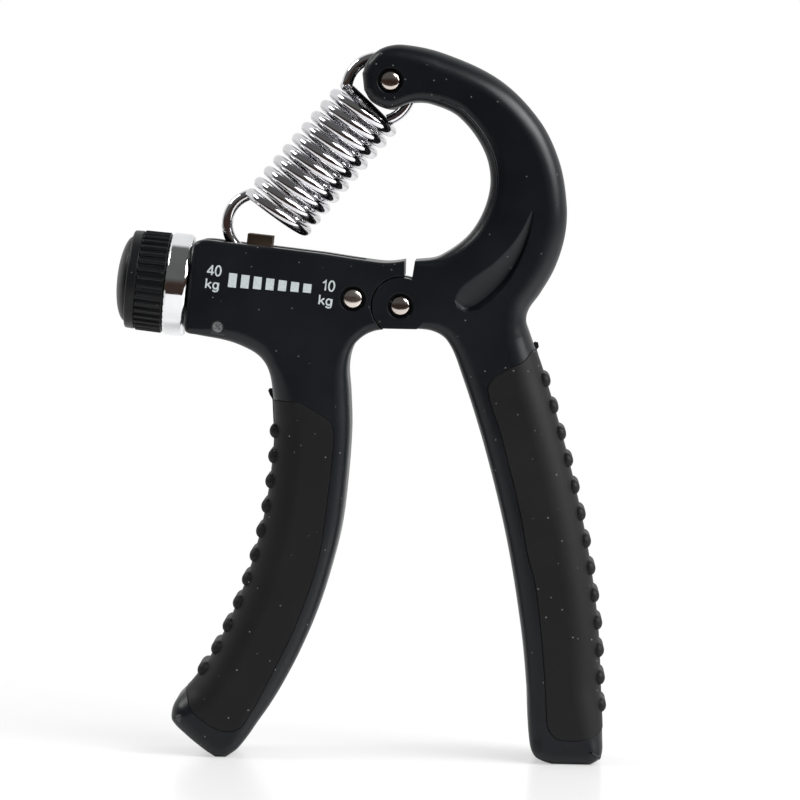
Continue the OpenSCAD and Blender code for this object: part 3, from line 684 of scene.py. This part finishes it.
def palmRibs(name, palm, count, low, high, inward):  # even steps along the palm's line
    line = [p[0] for p in sidePoints(handleLines[palm], 2, 12, 12)]
    line = [p for p in line if low - 0.4 <= p.y <= high + 0.4]
    lengths = [0.0]
    for a, b in zip(line, line[1:]):
        lengths.append(lengths[-1] + (b - a).length)
    places, turns = [], []
    for k in range(count):
        s = lengths[-1] * k / (count - 1)
        i = max(j for j in range(len(line) - 1) if lengths[j] <= s + 1e-9)
        t = (s - lengths[i]) / (lengths[i + 1] - lengths[i])
        p = line[i].lerp(line[i + 1], t)
        way = (line[i + 1] - line[i]).normalized()
        places.append((p.x + inward, 0, p.y))
        turns.append((0, math.atan2(way.x, way.y), 0))
    return repeated(name, ribPart(), places, turns, gripRubber)


flashOutline = {
    "left": [(-16.4, 70.9), (-18.4, 70.9), (-18.65, 70.4), (-18.3, 69.6), (-17.8, 68.8), (-17.5, 64), (-16.4, 64)],
    "right": [(31.8, 80.2), (32.7, 80.9), (33.3, 80.8), (33.5, 79.9), (33.1, 79.4), (33.6, 77.8), (33, 77.5)],
}


def gripPad(side, sides, count, low, high, inward, body):
    pad = handleForm(side + "GripPad", sides, -handleLines["padProud"])
    area = padOutline(side + "Pad", handleLines["padGap"])
    combine(pad, prism("area", area, -halfW - 1, halfW + 1), "INTERSECT")
    combine(pad, palmRibs("ribs", side + "Palm", count, low, high, inward), "UNION")
    combine(pad, prism("flash", flashOutline[side], -0.2, 0.2), "UNION")
    cut(pad, handleForm("under", sides, handleLines["padThickness"]))
    dress(smoothed(pad), gripRubber, body, "grip_rubber", side + "_grip_pad")


leftShells()
gripPad("left", leftSides, 11, 17.0, 63.0, ribShape["sunk"], "fixed_handle")
print("fixed handle made")

# Moving handle and its arm

rightHandle = {
    "ear": 5.4, "underside": 83.22, "earRoom": 5.7, "earInside": 1.95, "noseRadius": 10.3, "noseHalf": 1.55,
    "slit": [(5, 80), (8.9, 80), (8.9, 92.6), (9.6, 97.5), (9.7, 100), (5, 100)], "squeeze": 34,
    "tipSlot": 1.6, "tipSlotEnd": 11, "screws": [(39.3, 20), (31.2, 60), (30.8, 110)],
    "inside": [(3, 7, 3.9), (14, 17, 3.0)], "beadAngle": 56, "bead": 0.24, "beadFrom": (13.5, 97.6),
}

scoopShape = {
    "low": [(17.9, 87.4), (19.6, 86.75), (22.2, 87.4), (25.3, 90),
            (27.8, 93.2), (29.7, 97), (31.1, 101.2), (31.9, 106)],
    "high": [(17.9, 87.4), (17.1, 89.2), (17.9, 91.4), (20.5, 93.6),
             (24, 96.1), (27.3, 99.4), (29.7, 102.8), (31.3, 106)],
    "across": [0, 0.03, 0.07, 0.12, 0.19, 0.28, 0.38, 0.48, 0.58, 0.68, 0.78, 0.88, 1],
    "depth": 1.7, "steep": 0.19, "fullWidth": 4.5,
}


def teardrop():  # scooped recess with a round end, narrowing to a tip
    s = scoopShape
    low, high = ([p[0] for p in sidePoints([(x, z, 0) for x, z in s[side]], 0, 7, 8)] for side in ("low", "high"))
    rings = []
    for k in range(1, len(low)):
        deep = s["depth"] * min(1, (high[k] - low[k]).length / s["fullWidth"])
        rows = []
        for u in s["across"]:  # steep on the low side, running out softly on the high side
            p = low[k].lerp(high[k], u)
            rows.append((p.x, -halfW - 0.01 + deep * min(1, u / s["steep"]) ** 0.8 * (1 - u**1.6) ** 1.2, p.y))
        rings.append(rows + [(high[k].x, -halfW - 1, high[k].y), (low[k].x, -halfW - 1, low[k].y)])
    return meshPiece("teardrop", *stack(rings))


def innerBead():  # a fine raised line that follows the arm's inner edge
    ring = handleRing(handleLoop(rightSides, 0, 22, 8), 0, math.radians(rightHandle["beadAngle"]))
    fromX, fromZ = rightHandle["beadFrom"]
    points = [Vector((x, -y, z)) for x, y, z in ring[:len(ring) // 2 + 8] if z > fromZ and x > fromX]
    radius = rightHandle["bead"] * mm
    return grown(wirePath("bead", points), wireAlongPath, WireRadius=radius, Sides=10, Material=shellPlastic)


def noseRoom():
    r, low, full = rightHandle["noseRadius"], rightHandle["noseHalf"], math.radians(rightHandle["squeeze"])
    start, end = -math.asin(low / r), full + math.asin(low / r) + 0.02
    arc = [pivot + r * Vector((math.cos(a), math.sin(a))) for a in [start + (end - start) * i / 16 for i in range(17)]]
    outline = [(pivot.x, pivot.y - low)] + [tuple(p) for p in arc] + [(pivot.x, pivot.y + low / math.cos(full))]
    return prism("nose", outline, -low - 0.05, low + 0.05)


def rightShells():
    room, slot = rightHandle["earInside"], rightHandle["tipSlot"]
    front = handleForm("rightShellFront", rightSides, 0, -1)
    cut(front, prism("slit", rightHandle["slit"], -10, 10))
    ear = rodAlongY("ear", pivot, rightHandle["ear"], -halfW + 0.005, -0.005, 128)
    combine(front, cut(ear, block("below", (-5, -10, 70), (20, 10, rightHandle["underside"]))), "UNION")
    cut(
        front,
        padRecess(rightSides, "rightPad"),
        block("slit", (0, -10, pivot.y - 10), (pivot.x + 3, 10, pivot.y - 4.4)),
        rodAlongY("room", pivot, rightHandle["earRoom"], -room, room, 96),
        noseRoom(),
        block("tipSlot", (-5, -slot, tip.y - 10), (rightHandle["tipSlotEnd"], slot, tip.y + 10)),
        pinBore(pivot),
        pinBore(tip),
        pinRecess(pivot, -1),
        pinRecess(tip, -1),
        *hollows(rightSides, rightHandle["inside"]),
    )
    rear = mirroredCopy(front, "rightShellRear")
    combine(front, innerBead(), "UNION")
    cut(front, teardrop())
    screwHoles(rear, rightHandle["screws"])
    dress(smoothed(front), shellPlastic, "moving_handle", "black_shell", "right_shell_front")
    dress(smoothed(rear), shellPlastic, "moving_handle", "black_shell", "right_shell_rear")


tongueShape = {"half": 1.5, "round": 5.62, "end": 2.9, "nose": 1.5, "noseFrom": 3, "noseReach": 10,
               "bore": 2.61, "hole": 2.05, "underside": 83.5, "web": (0.6, 2.7, -2, 4.5)}


def hingeTongue():
    t = tongueShape
    y = t["half"]
    x0, z0, x1, z1 = t["web"]
    x0, x1 = anchor.x + x0, pivot.x + x1
    tongue = rodAlongY("hingeTongue", pivot, t["round"], -y, y, 96)
    web = [(x0, anchor.y + z0), (x1, pivot.y + z1), (x1, pivot.y - z1), (x0, anchor.y - z0)]
    noseLow = (pivot.x + t["noseFrom"], -y + 0.006, pivot.y - t["nose"])
    noseHigh = (pivot.x + t["noseReach"], y - 0.006, pivot.y + t["nose"])
    combine(tongue, prism("web", web, -y + 0.004, y - 0.004), "UNION")
    combine(tongue, rodAlongY("end", anchor, t["end"], -y + 0.002, y - 0.002), "UNION")
    combine(tongue, block("nose", noseLow, noseHigh), "UNION")
    cut(
        tongue,
        rodAlongY("bore", pivot, t["bore"], -5, 5),
        rodAlongY("hole", anchor, t["hole"], -5, 5),
        block("below", (-10, -5, 70), (20, 5, t["underside"])),
    )
    dress(smoothed(tongue), plainSteel, "fixed_handle", "steel", "hinge_tongue")


rightShells()
hingeTongue()
gripPad("right", rightSides, 13, 11.4, 74.3, -ribShape["sunk"], "moving_handle")
print("moving handle made")

# Spring

springShape = {
    "wire": 1.1, "coilRadius": 6.35, "turns": 10, "pitch": 2.79, "coilStart": 6.35, "coilSide": (0.8, 0.35), "bend": 22,
    "lowLoop": (2.7, 2.3), "lowRadius": 5.85, "lowFrom": -112, "lowTo": -304,
    "highBack": 2.75, "highSide": 0.9, "highRadius": 6.15, "highFrom": 118, "highTo": -124,
    "bridgePull": 3, "perTurn": 48, "sides": 20,
}


def springPath():
    length = (tip - hook).length
    way = (tip - hook) / length
    side = Vector((-way.y, way.x))

    def at(s, e, y):
        p = hook + way * s + side * e
        return Vector((p.x, y, p.y))

    def loop(centre, radius, start, end, count):
        return [
            at(centre[0] + radius * math.cos(a), centre[1] + radius * math.sin(a), 0)
            for a in [math.radians(start + (end - start) * i / count) for i in range(count + 1)]
        ]

    def bridge(before, after, count=14):
        leave = (before[-1] - before[-2]).normalized() * springShape["bridgePull"]
        arrive = (after[1] - after[0]).normalized() * springShape["bridgePull"]
        return [hermite(before[-1], after[0], leave, arrive, k / count) for k in range(1, count)]

    s = springShape
    total, count = s["turns"] * 360, s["turns"] * s["perTurn"]
    coil = []
    for i in range(count + 1):
        t = s["bend"] + (total - 2 * s["bend"]) * i / count
        aside = s["coilSide"][0] + (s["coilSide"][1] - s["coilSide"][0]) * i / count
        turn = math.radians(t)
        e, y = aside + s["coilRadius"] * math.cos(turn), -s["coilRadius"] * math.sin(turn)
        coil.append(at(s["coilStart"] + s["pitch"] * t / 360, e, y))
    low = loop(s["lowLoop"], s["lowRadius"], s["lowFrom"], s["lowTo"], 48)
    high = loop((length - s["highBack"], s["highSide"]), s["highRadius"], s["highFrom"], s["highTo"], 64)
    path = low + bridge(low, coil) + coil + bridge(coil, high) + high
    coilEnds = [hook + way * d for d in (s["coilStart"], s["coilStart"] + s["turns"] * s["pitch"])]
    return path, [Vector((p.x, 0, p.y)) * mm for p in coilEnds]


springPoints, (coilBottom, coilTop) = springPath()
spring = grown(wirePath("tensionSpring", springPoints), wireAlongPath, WireRadius=springShape["wire"] * mm,
               Sides=springShape["sides"], Material=springChrome)
spring = smoothed(spring, 60)
spring.data.materials.clear()
spring.data.materials.append(springChrome)
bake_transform(spring)
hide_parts("spring", "spring_lower_hook")
print("spring made")

# Knob

knobShape = {
    "left": -12.0, "right": -4.55, "plainEnd": -10.15, "body": 9.12, "rib": 0.5, "ribWidth": 0.52, "ribs": 36,
    "ribSteps": 8, "bandRadius": 9.45, "seat": 8.12, "seatFloor": -10.15, "rim": 8.75, "hub": 7.0, "core": 4.2,
    "capRadius": 8.55, "domeRadius": 8.3, "capBase": -11.55, "capTop": -14.35, "capStem": 7.9,
    "ring": (-4.5, -0.4), "ringRadius": 9.9, "ringChamfer": 0.38,
}


def knobGrip():
    k = knobShape
    left, right, end, seam = k["left"], k["right"], k["plainEnd"], k["ring"][1] - 0.1
    body, rim, band, hub, core = k["body"], k["rim"], k["bandRadius"], k["hub"], k["core"]
    profile = [
        (0.01, k["seatFloor"]), (k["seat"], k["seatFloor"]), (k["seat"], k["capBase"]), (rim, k["capBase"]),
        (rim, left + 0.12), (rim + 0.12, left), (band - 0.5, left), (band - 0.22, left + 0.08),
        (band - 0.06, left + 0.25), (band, left + 0.5), (band + 0.06, end - 0.12), (band, end),
        (body, end + 0.1), (body + 0.12, right - 0.42), (body + 0.36, right - 0.4), (body + 0.36, right - 0.2),
        (body + 0.1, right), (hub, right), (hub, seam), (core, seam), (core, 0), (0.01, 0),
    ]
    grip = turned("knobGrip", profile, None, 144)
    steps, length = k["ribSteps"], right - 0.32 - end
    rings = []
    for j in range(9):  # a long rib with a rounded left end
        z = end - 0.05 + (0.6 * j / 4 if j < 4 else 0.6 + (length - 0.6) * (j - 4) / 4)
        high = (0.3 + k["rib"] + 0.12 * j / 8) * math.sin(math.pi / 2 * min(1, (j + 0.6) / 4))
        turns = [math.pi * i / steps for i in range(steps + 1)]
        rings.append([(body - 0.3 + high * math.sin(a), k["ribWidth"] * math.cos(a), z) for a in turns])
    angles = [2 * math.pi * (i + 0.5) / k["ribs"] for i in range(k["ribs"])]
    rib = meshPiece("knobRib", *stack(rings))
    ribs = repeated("knobRibs", rib, [(0, 0, 0)] * len(angles), [(0, 0, a) for a in angles], knobPlastic)
    combine(grip, ribs, "UNION")
    grip.data.transform(barMatrix())
    dress(smoothed(grip), knobPlastic, "knob", "knob_black", "knob_grip")


def knobCap():
    k = knobShape
    low, wide, stem = k["capBase"], k["capRadius"], k["capStem"]
    rise = low - 0.35 - k["capTop"]
    steps = [t * math.pi / 60 for t in range(29, -1, -1)]
    profile = [(k["domeRadius"] * math.cos(a), low - 0.35 - rise * math.sin(a)) for a in steps]
    profile += [(8.4, low - 0.3), (wide - 0.05, low - 0.24), (wide, low - 0.18), (wide, low - 0.03),
                (stem, low - 0.03), (stem, low + 1.3), (0.01, low + 1.3)]
    cap = turned("knobCap", profile, barMatrix(), 96)
    dress(smoothed(cap), knobPlastic, "knob", "knob_black", "knob_cap")


def knobRing():
    k = knobShape
    a, b = k["ring"]
    r, c, bore = k["ringRadius"], k["ringChamfer"], k["hub"] + 0.02
    profile = [(bore, a), (r - c, a), (r - 0.1, a + c * 0.8), (r, a + c + 0.12), (r, b - c - 0.12),
               (r - 0.1, b - c * 0.8), (r - c, b), (bore, b)]
    ring = turned("knobRing", profile, None, 128)
    cut(ring, turned("bore", [(bore, a - 1), (bore, b + 1)], None, 96))
    ring.data.transform(barMatrix())
    dress(smoothed(ring, 40), ringChrome, "knob", "ring_chrome", "knob_ring")


knobGrip()
knobCap()
knobRing()
print("knob made")

# Adjusting screw

screwShape = {"start": -8.65, "end": 28.2, "hexEnd": 0.1, "hex": 2.2, "shaft": 2.25, "threadFrom": 5.3, "lead": 1.5,
              "depth": 0.32, "groove": (4.45, 5.15, 1.8), "perLead": 12, "sides": 36}


def adjustingScrew():
    s = screwShape
    start, end, hexEnd, thread, shaft = s["start"], s["end"], s["hexEnd"], s["threadFrom"], s["shaft"]
    low, high, core = s["groove"]
    stations = [start, hexEnd, hexEnd + 0.01, low, low + 0.01, high, high + 0.01]
    count = int((end - thread) / s["lead"] * s["perLead"])
    stations += [thread + (end - thread) * i / count for i in range(count + 1)]
    rings = []
    for a in stations:
        ring = []
        for i in range(s["sides"]):
            angle = 2 * math.pi * i / s["sides"]
            if a <= hexEnd:
                r = s["hex"] * math.cos(math.pi / 6) / math.cos((angle % (math.pi / 3)) - math.pi / 6)
            elif low < a <= high:
                r = core
            elif a < thread:
                r = shaft
            else:
                phase = (a / s["lead"] - angle / (2 * math.pi)) % 1
                fade = min(1, (a - thread) / 1.2, (end - a) / 0.8 + 0.3)
                r = shaft - s["depth"] * fade * min(1, max(0, abs(2 * phase - 1) * 1.5 - 0.2))
            ring.append((r * math.cos(angle), r * math.sin(angle), a))
        rings.append(ring)
    piece = meshPiece("adjustingScrew", *stack(rings), barMatrix())
    dress(smoothed(piece, 40), plainSteel, "knob", "steel", "adjusting_screw")


adjustingScrew()

# Carriage and hook pin

carriageShape = {"body": (10, 16.8, 4.3), "ears": (9.85, 14.75, 11.4, 3.1), "gap": 1.5, "bore": 2.3, "soft": 0.22}


def softEdges(piece, width, angle=40):
    modifier = piece.modifiers.new("soft", "BEVEL")
    modifier.width = width * mm
    modifier.segments = 2
    modifier.limit_method = "ANGLE"
    modifier.angle_limit = math.radians(angle)
    return applied(piece)


def carriage():
    c = carriageShape
    piece = barBlock("carriage", c["body"][0], c["body"][1], -c["body"][2], c["body"][2], c["body"][2])
    combine(piece, barBlock("ears", c["ears"][0], c["ears"][1], c["body"][2] - 1, c["ears"][2], c["ears"][3]), "UNION")
    cut(piece, barBlock("gap", c["body"][0] - 1, c["body"][1] + 1, 3.05, c["ears"][2] + 1, c["gap"]))
    softEdges(piece, c["soft"])
    cut(
        piece,
        turned("bore", [(c["bore"], c["body"][0] - 1), (c["bore"], c["body"][1] + 1)], barMatrix()),
        rodAlongY("pinHole", hook, 1.12, -c["gap"] - 1.02, 10),
    )
    dress(smoothed(piece), darkBronze, "carriage", "carriage_metal", "carriage")


carriage()
print("adjuster made")

# Screws of the shells, at the rear

screwLook = {"shank": 1.2, "head": 2.4, "headY": 4.4, "headHigh": 1.6, "tipY": -5.2, "cross": (0.42, 3.0, 0.9)}


def shellScrew():
    s = screwLook
    shank, head, tipY, headY = s["shank"], s["head"], s["tipY"], s["headY"]
    profile = [(0.3, tipY), (shank * 0.8, tipY + 1.2), (shank, tipY + 2), (shank, headY),
               (head - 0.1, headY), (head, headY + 0.1)]
    rise, steps = s["headHigh"] - 0.7, [math.pi / 12 * t for t in range(6)]
    profile += [(head * math.cos(a), headY + 0.7 + rise * math.sin(a)) for a in steps]
    screw = turned("shellScrew", profile, None, 40)
    width, length, deep = s["cross"]
    top = s["headY"] + s["headHigh"]
    for a, b in ((width, length), (length, width)):
        cut(screw, block("cross", (-a / 2, -b / 2, top - deep), (a / 2, b / 2, top + 1)))
    screw.data.transform(Matrix.Rotation(-math.pi / 2, 4, "X"))
    return screw


for side, body, handle in (("left", "fixed_handle", leftHandle), ("right", "moving_handle", rightHandle)):
    places = [(x, 0, z) for x, z in handle["screws"]]
    turns = [(0, 0.5 + 0.4 * i, 0) for i in range(len(places))]
    screws = repeated(side + "ShellScrews", shellScrew(), places, turns, plainSteel)
    dress(smoothed(screws), plainSteel, body, "steel", side + "_shell_screws")

# Plug of the bush's retaining pin

plugShape = {"radius": 1.1, "reach": 8.72, "soft": 0.15}


def retainingPin():
    p = plugShape
    place = onBar(*leftHandle["plug"])
    r, y = p["radius"], p["reach"]
    profile = [(r - p["soft"], -y), (r, -y + p["soft"]), (r, y - p["soft"]), (r - p["soft"], y)]
    pin = turned("bushRetainingPin", profile, None, 48)
    for a, b in ((0.22, 1.3), (1.3, 0.22)):
        cut(pin, block("mark", (-a / 2, -b / 2, y - 0.2), (a / 2, b / 2, y + 1), Matrix.Rotation(0.7, 4, "Z")))
    pin.data.transform(movedTo(place) @ quarterTurn)
    dress(smoothed(pin), plugGrey, "fixed_handle", "pin_steel", "bush_retaining_pin")


retainingPin()

# Scale on the bar

scaleMarks = {
    "bars": 7, "barFirst": 8.3, "barStep": 2.39, "barWidth": 1.56, "barBase": (0.95, 1.59), "barTop": (3.66, 3.29),
    "proud": 0.03, "stroke": 0.3,
    "words": [("40", 4.6, 3.82, 1.95, 2.75), ("kg", 4.45, 1.2, 1.85, 2.45),
              ("10", 26.6, 3.42, 2.0, 2.5), ("kg", 26.3, 0.6, 1.85, 2.45)],
}


def oval(x, y, wide, tall, steps):
    turns = [math.pi * k / steps for k in range(2 * steps + 1)]
    return [(x + wide * math.sin(a), y + tall * math.cos(a)) for a in turns]


glyphs = {  # lines on a grid where a capital is 1 high, and the advance to the next sign
    "4": (0.78, [[(0.52, 0), (0.52, 0.98)], [(0.5, 0.9), (0.08, 0.3)], [(0.02, 0.27), (0.72, 0.27)]]),
    "0": (0.78, [oval(0.36, 0.48, 0.27, 0.48, 12)]),
    "1": (0.62, [[(0.08, 0.7), (0.26, 0.8), (0.38, 0.96), (0.38, 0)]]),
    "k": (0.62, [[(0.06, 0.98), (0.06, 0)], [(0.5, 0.66), (0.08, 0.26)], [(0.2, 0.4), (0.54, 0)]]),
    "g": (0.66, [oval(0.32, 0.33, 0.23, 0.31, 10),
                 [(0.57, 0.68), (0.57, -0.02), (0.52, -0.19), (0.33, -0.26), (0.15, -0.21), (0.1, -0.12)]]),
}


def strokeOutline(line, width):  # both sides of a line, mitred at its turns
    line = [Vector(p) for p in line]
    sides = []
    for i, p in enumerate(line):
        before = (p - line[i - 1]).normalized() if i else None
        after = (line[i + 1] - p).normalized() if i + 1 < len(line) else None
        ends = [Vector((-way.y, way.x)) for way in (before, after) if way]
        middle = sum(ends, Vector((0, 0))).normalized()
        sides.append(middle * (width / 2 / max(middle.dot(ends[0]), 0.55)))
    return [p + q for p, q in zip(line, sides)], [p - q for p, q in zip(line, sides)]


def scalePiece():
    m = scaleMarks
    points, faces = [], []

    def plate(corners, proud):
        rings = [[(*onBar(a, h), y) for a, h in corners] for y in (-halfW + 0.05, -halfW - proud)]
        platePoints, plateFaces = stack(rings)
        faces.extend(tuple(j + len(points) for j in face) for face in plateFaces)
        points.extend((x, y, z) for x, z, y in platePoints)

    for i in range(m["bars"]):
        t = i / (m["bars"] - 1)
        a, w = m["barFirst"] + m["barStep"] * i, m["barWidth"] / 2
        base = m["barBase"][0] + (m["barBase"][1] - m["barBase"][0]) * t
        top = m["barTop"][0] + (m["barTop"][1] - m["barTop"][0]) * t
        plate([(a - w, base), (a + w, base), (a + w, top), (a - w, top)], m["proud"])
    for word, a, h, tall, wide in m["words"]:  # a and h are the middle of the word's capitals
        units = sum(glyphs[sign][0] for sign in word)
        stretch = wide / (units - 0.1) / tall
        x = a - wide / 2
        for sign in word:
            for n, line in enumerate(glyphs[sign][1]):
                line = [(x + u * tall * stretch, h + (v - 0.5) * tall) for u, v in line]
                upper, lower = strokeOutline(line, m["stroke"])
                for k in range(len(line) - 1):
                    plate([lower[k], lower[k + 1], upper[k + 1], upper[k]], m["proud"] + 0.003 * n)
            x += glyphs[sign][0] * tall * stretch
    marks = meshPiece("scaleMarks", points, faces)
    marks.data.shade_flat()
    dress(marks, markPaint, "fixed_handle", "black_shell")


scalePiece()
print("scale made")

# Materials of the nodes that stay

keptNodes = {
    "hinge_bushing": turnedBrass, "hinge_washers": plainSteel, "hook_pin": plainSteel,
    "screw_bush": turnedBrass, "end_bearing": turnedBrass, "thrust_washer": turnedBrass, "retaining_clip": plainSteel,
    "knob_screw": plainSteel,
}
for nodeName, nodeMaterial in keptNodes.items():
    nodes[nodeName].data.materials.clear()
    nodes[nodeName].data.materials.append(nodeMaterial)
print("kept nodes dressed:", len(keptNodes))

# Floor, light and camera

studio = {
    "floorHalf": 3.0, "floorFront": -0.24, "floorColor": (0.86, 0.86, 0.86),
    "floorWhite": 0.45, "floorFade": (0.06, 0.32),
    "surround": 0.95, "frontGrey": 0.13, "horizon": (0.05, 0.032, 0.026),
    "fadeUp": 0.3, "fadeSide": 0.25, "fadeEnd": 0.02,
    "lamps": [  # place, target, size, power, seen in gloss
        ("leftLamp", (-0.8, -0.06, 0.85), (0, 0, 0.08), (0.42, 0.42), 5, True),
        ("rightLamp", (0.75, -0.3, 0.5), (0, 0, 0.08), (0.5, 0.6), 6, True),
        ("hoodLamp", (0.7, -0.5, 0.75), (0, 0, 0.1), (0.9, 0.4), 8.0, True),
        ("frontFill", (-0.2, -1.1, 0.5), (0, 0, 0.07), (0.9, 0.7), 2.0, False),
    ],
}


def makeFloor():
    h, front = studio["floorHalf"] / mm, studio["floorFront"] / mm
    floor = meshPiece("floor", [(-h, front, 0), (h, front, 0), (h, h, 0), (-h, h, 0)], [(0, 1, 2, 3)])
    material, tree, main = shader("floorPaper", studio["floorColor"], 0.22, specular=0.3)
    where = add(tree, "ShaderNodeTexCoord").outputs["Object"]
    reach = add(tree, "ShaderNodeVectorMath", {0: where}, operation="LENGTH").outputs["Value"]
    fade = ranged(tree, reach, studio["floorWhite"], 1, *studio["floorFade"])
    seen = add(tree, "ShaderNodeLightPath").outputs["Is Camera Ray"]
    share = add(tree, "ShaderNodeMath", {0: seen, 1: fade}, operation="MULTIPLY").outputs[0]
    white = add(tree, "ShaderNodeEmission").outputs[0]
    mixed = add(tree, "ShaderNodeMixShader", {0: share, 1: main.outputs[0], 2: white})
    feed(tree, tree.nodes["Material Output"], {"Surface": mixed.outputs[0]})
    floor.data.materials.append(material)


def makeWorld():  # white all round, greyer in front above, with a dark band at the front's horizon
    scene.world = world = bpy.data.worlds.new("studio")
    world.use_nodes = True
    tree = world.node_tree
    where = add(tree, "ShaderNodeTexCoord").outputs["Generated"]
    axes = add(tree, "ShaderNodeSeparateXYZ", {0: where}).outputs
    surround, grey, white = ((value,) * 3 for value in (studio["surround"], studio["frontGrey"], 1.0))

    def faded(axis, start):
        return ranged(tree, axes[axis], 0, 1, start, studio["fadeEnd"], interpolation_type="SMOOTHSTEP")

    front = blended(tree, faded("Z", studio["fadeUp"]), grey, studio["horizon"])
    around = blended(tree, faded("Y", studio["fadeSide"]), surround, front)
    rays = add(tree, "ShaderNodeLightPath").outputs
    seen = {0: rays["Is Camera Ray"], 1: rays["Is Transmission Ray"]}
    seen = add(tree, "ShaderNodeMath", seen, operation="MAXIMUM").outputs[0]
    feed(tree, tree.nodes["Background"], {"Color": blended(tree, seen, around, white)})


def makeLamps():
    for name, place, target, size, power, glossy in studio["lamps"]:
        light = bpy.data.lights.new(name, "AREA")
        light.shape = "RECTANGLE"
        light.size, light.size_y = size
        light.energy = power
        lamp = linked(name, light)
        lamp.location = place
        lamp.rotation_euler = (Vector(target) - Vector(place)).to_track_quat("-Z", "Y").to_euler()
        lamp.visible_glossy = glossy


cameraSetup = {"place": (24.1, -800.0, 118.0), "pitch": -3.497, "yaw": -1.2333, "roll": 1.0556,
               "focal": 4148.6, "width": 800, "sensor": 36.0}


def makeCamera():
    c = cameraSetup
    pitch, yaw, roll = (math.radians(c[key]) for key in ("pitch", "yaw", "roll"))
    forward = Vector((math.sin(yaw) * math.cos(pitch), math.cos(yaw) * math.cos(pitch), math.sin(pitch)))
    right = forward.cross(Vector((0, 0, 1))).normalized()
    up = right.cross(forward)
    right, up = right * math.cos(roll) + up * math.sin(roll), up * math.cos(roll) - right * math.sin(roll)
    data = bpy.data.cameras.new("camera")
    data.sensor_width = c["sensor"]
    data.lens = c["focal"] * c["sensor"] / c["width"]
    data.clip_start = 0.05
    turn = Matrix((right, up, -forward)).transposed().to_4x4()
    scene.camera = camera = linked("camera", data)
    camera.matrix_world = Matrix.Translation(Vector(c["place"]) * mm) @ turn


makeFloor()
makeWorld()
makeLamps()
makeCamera()
print("studio made")
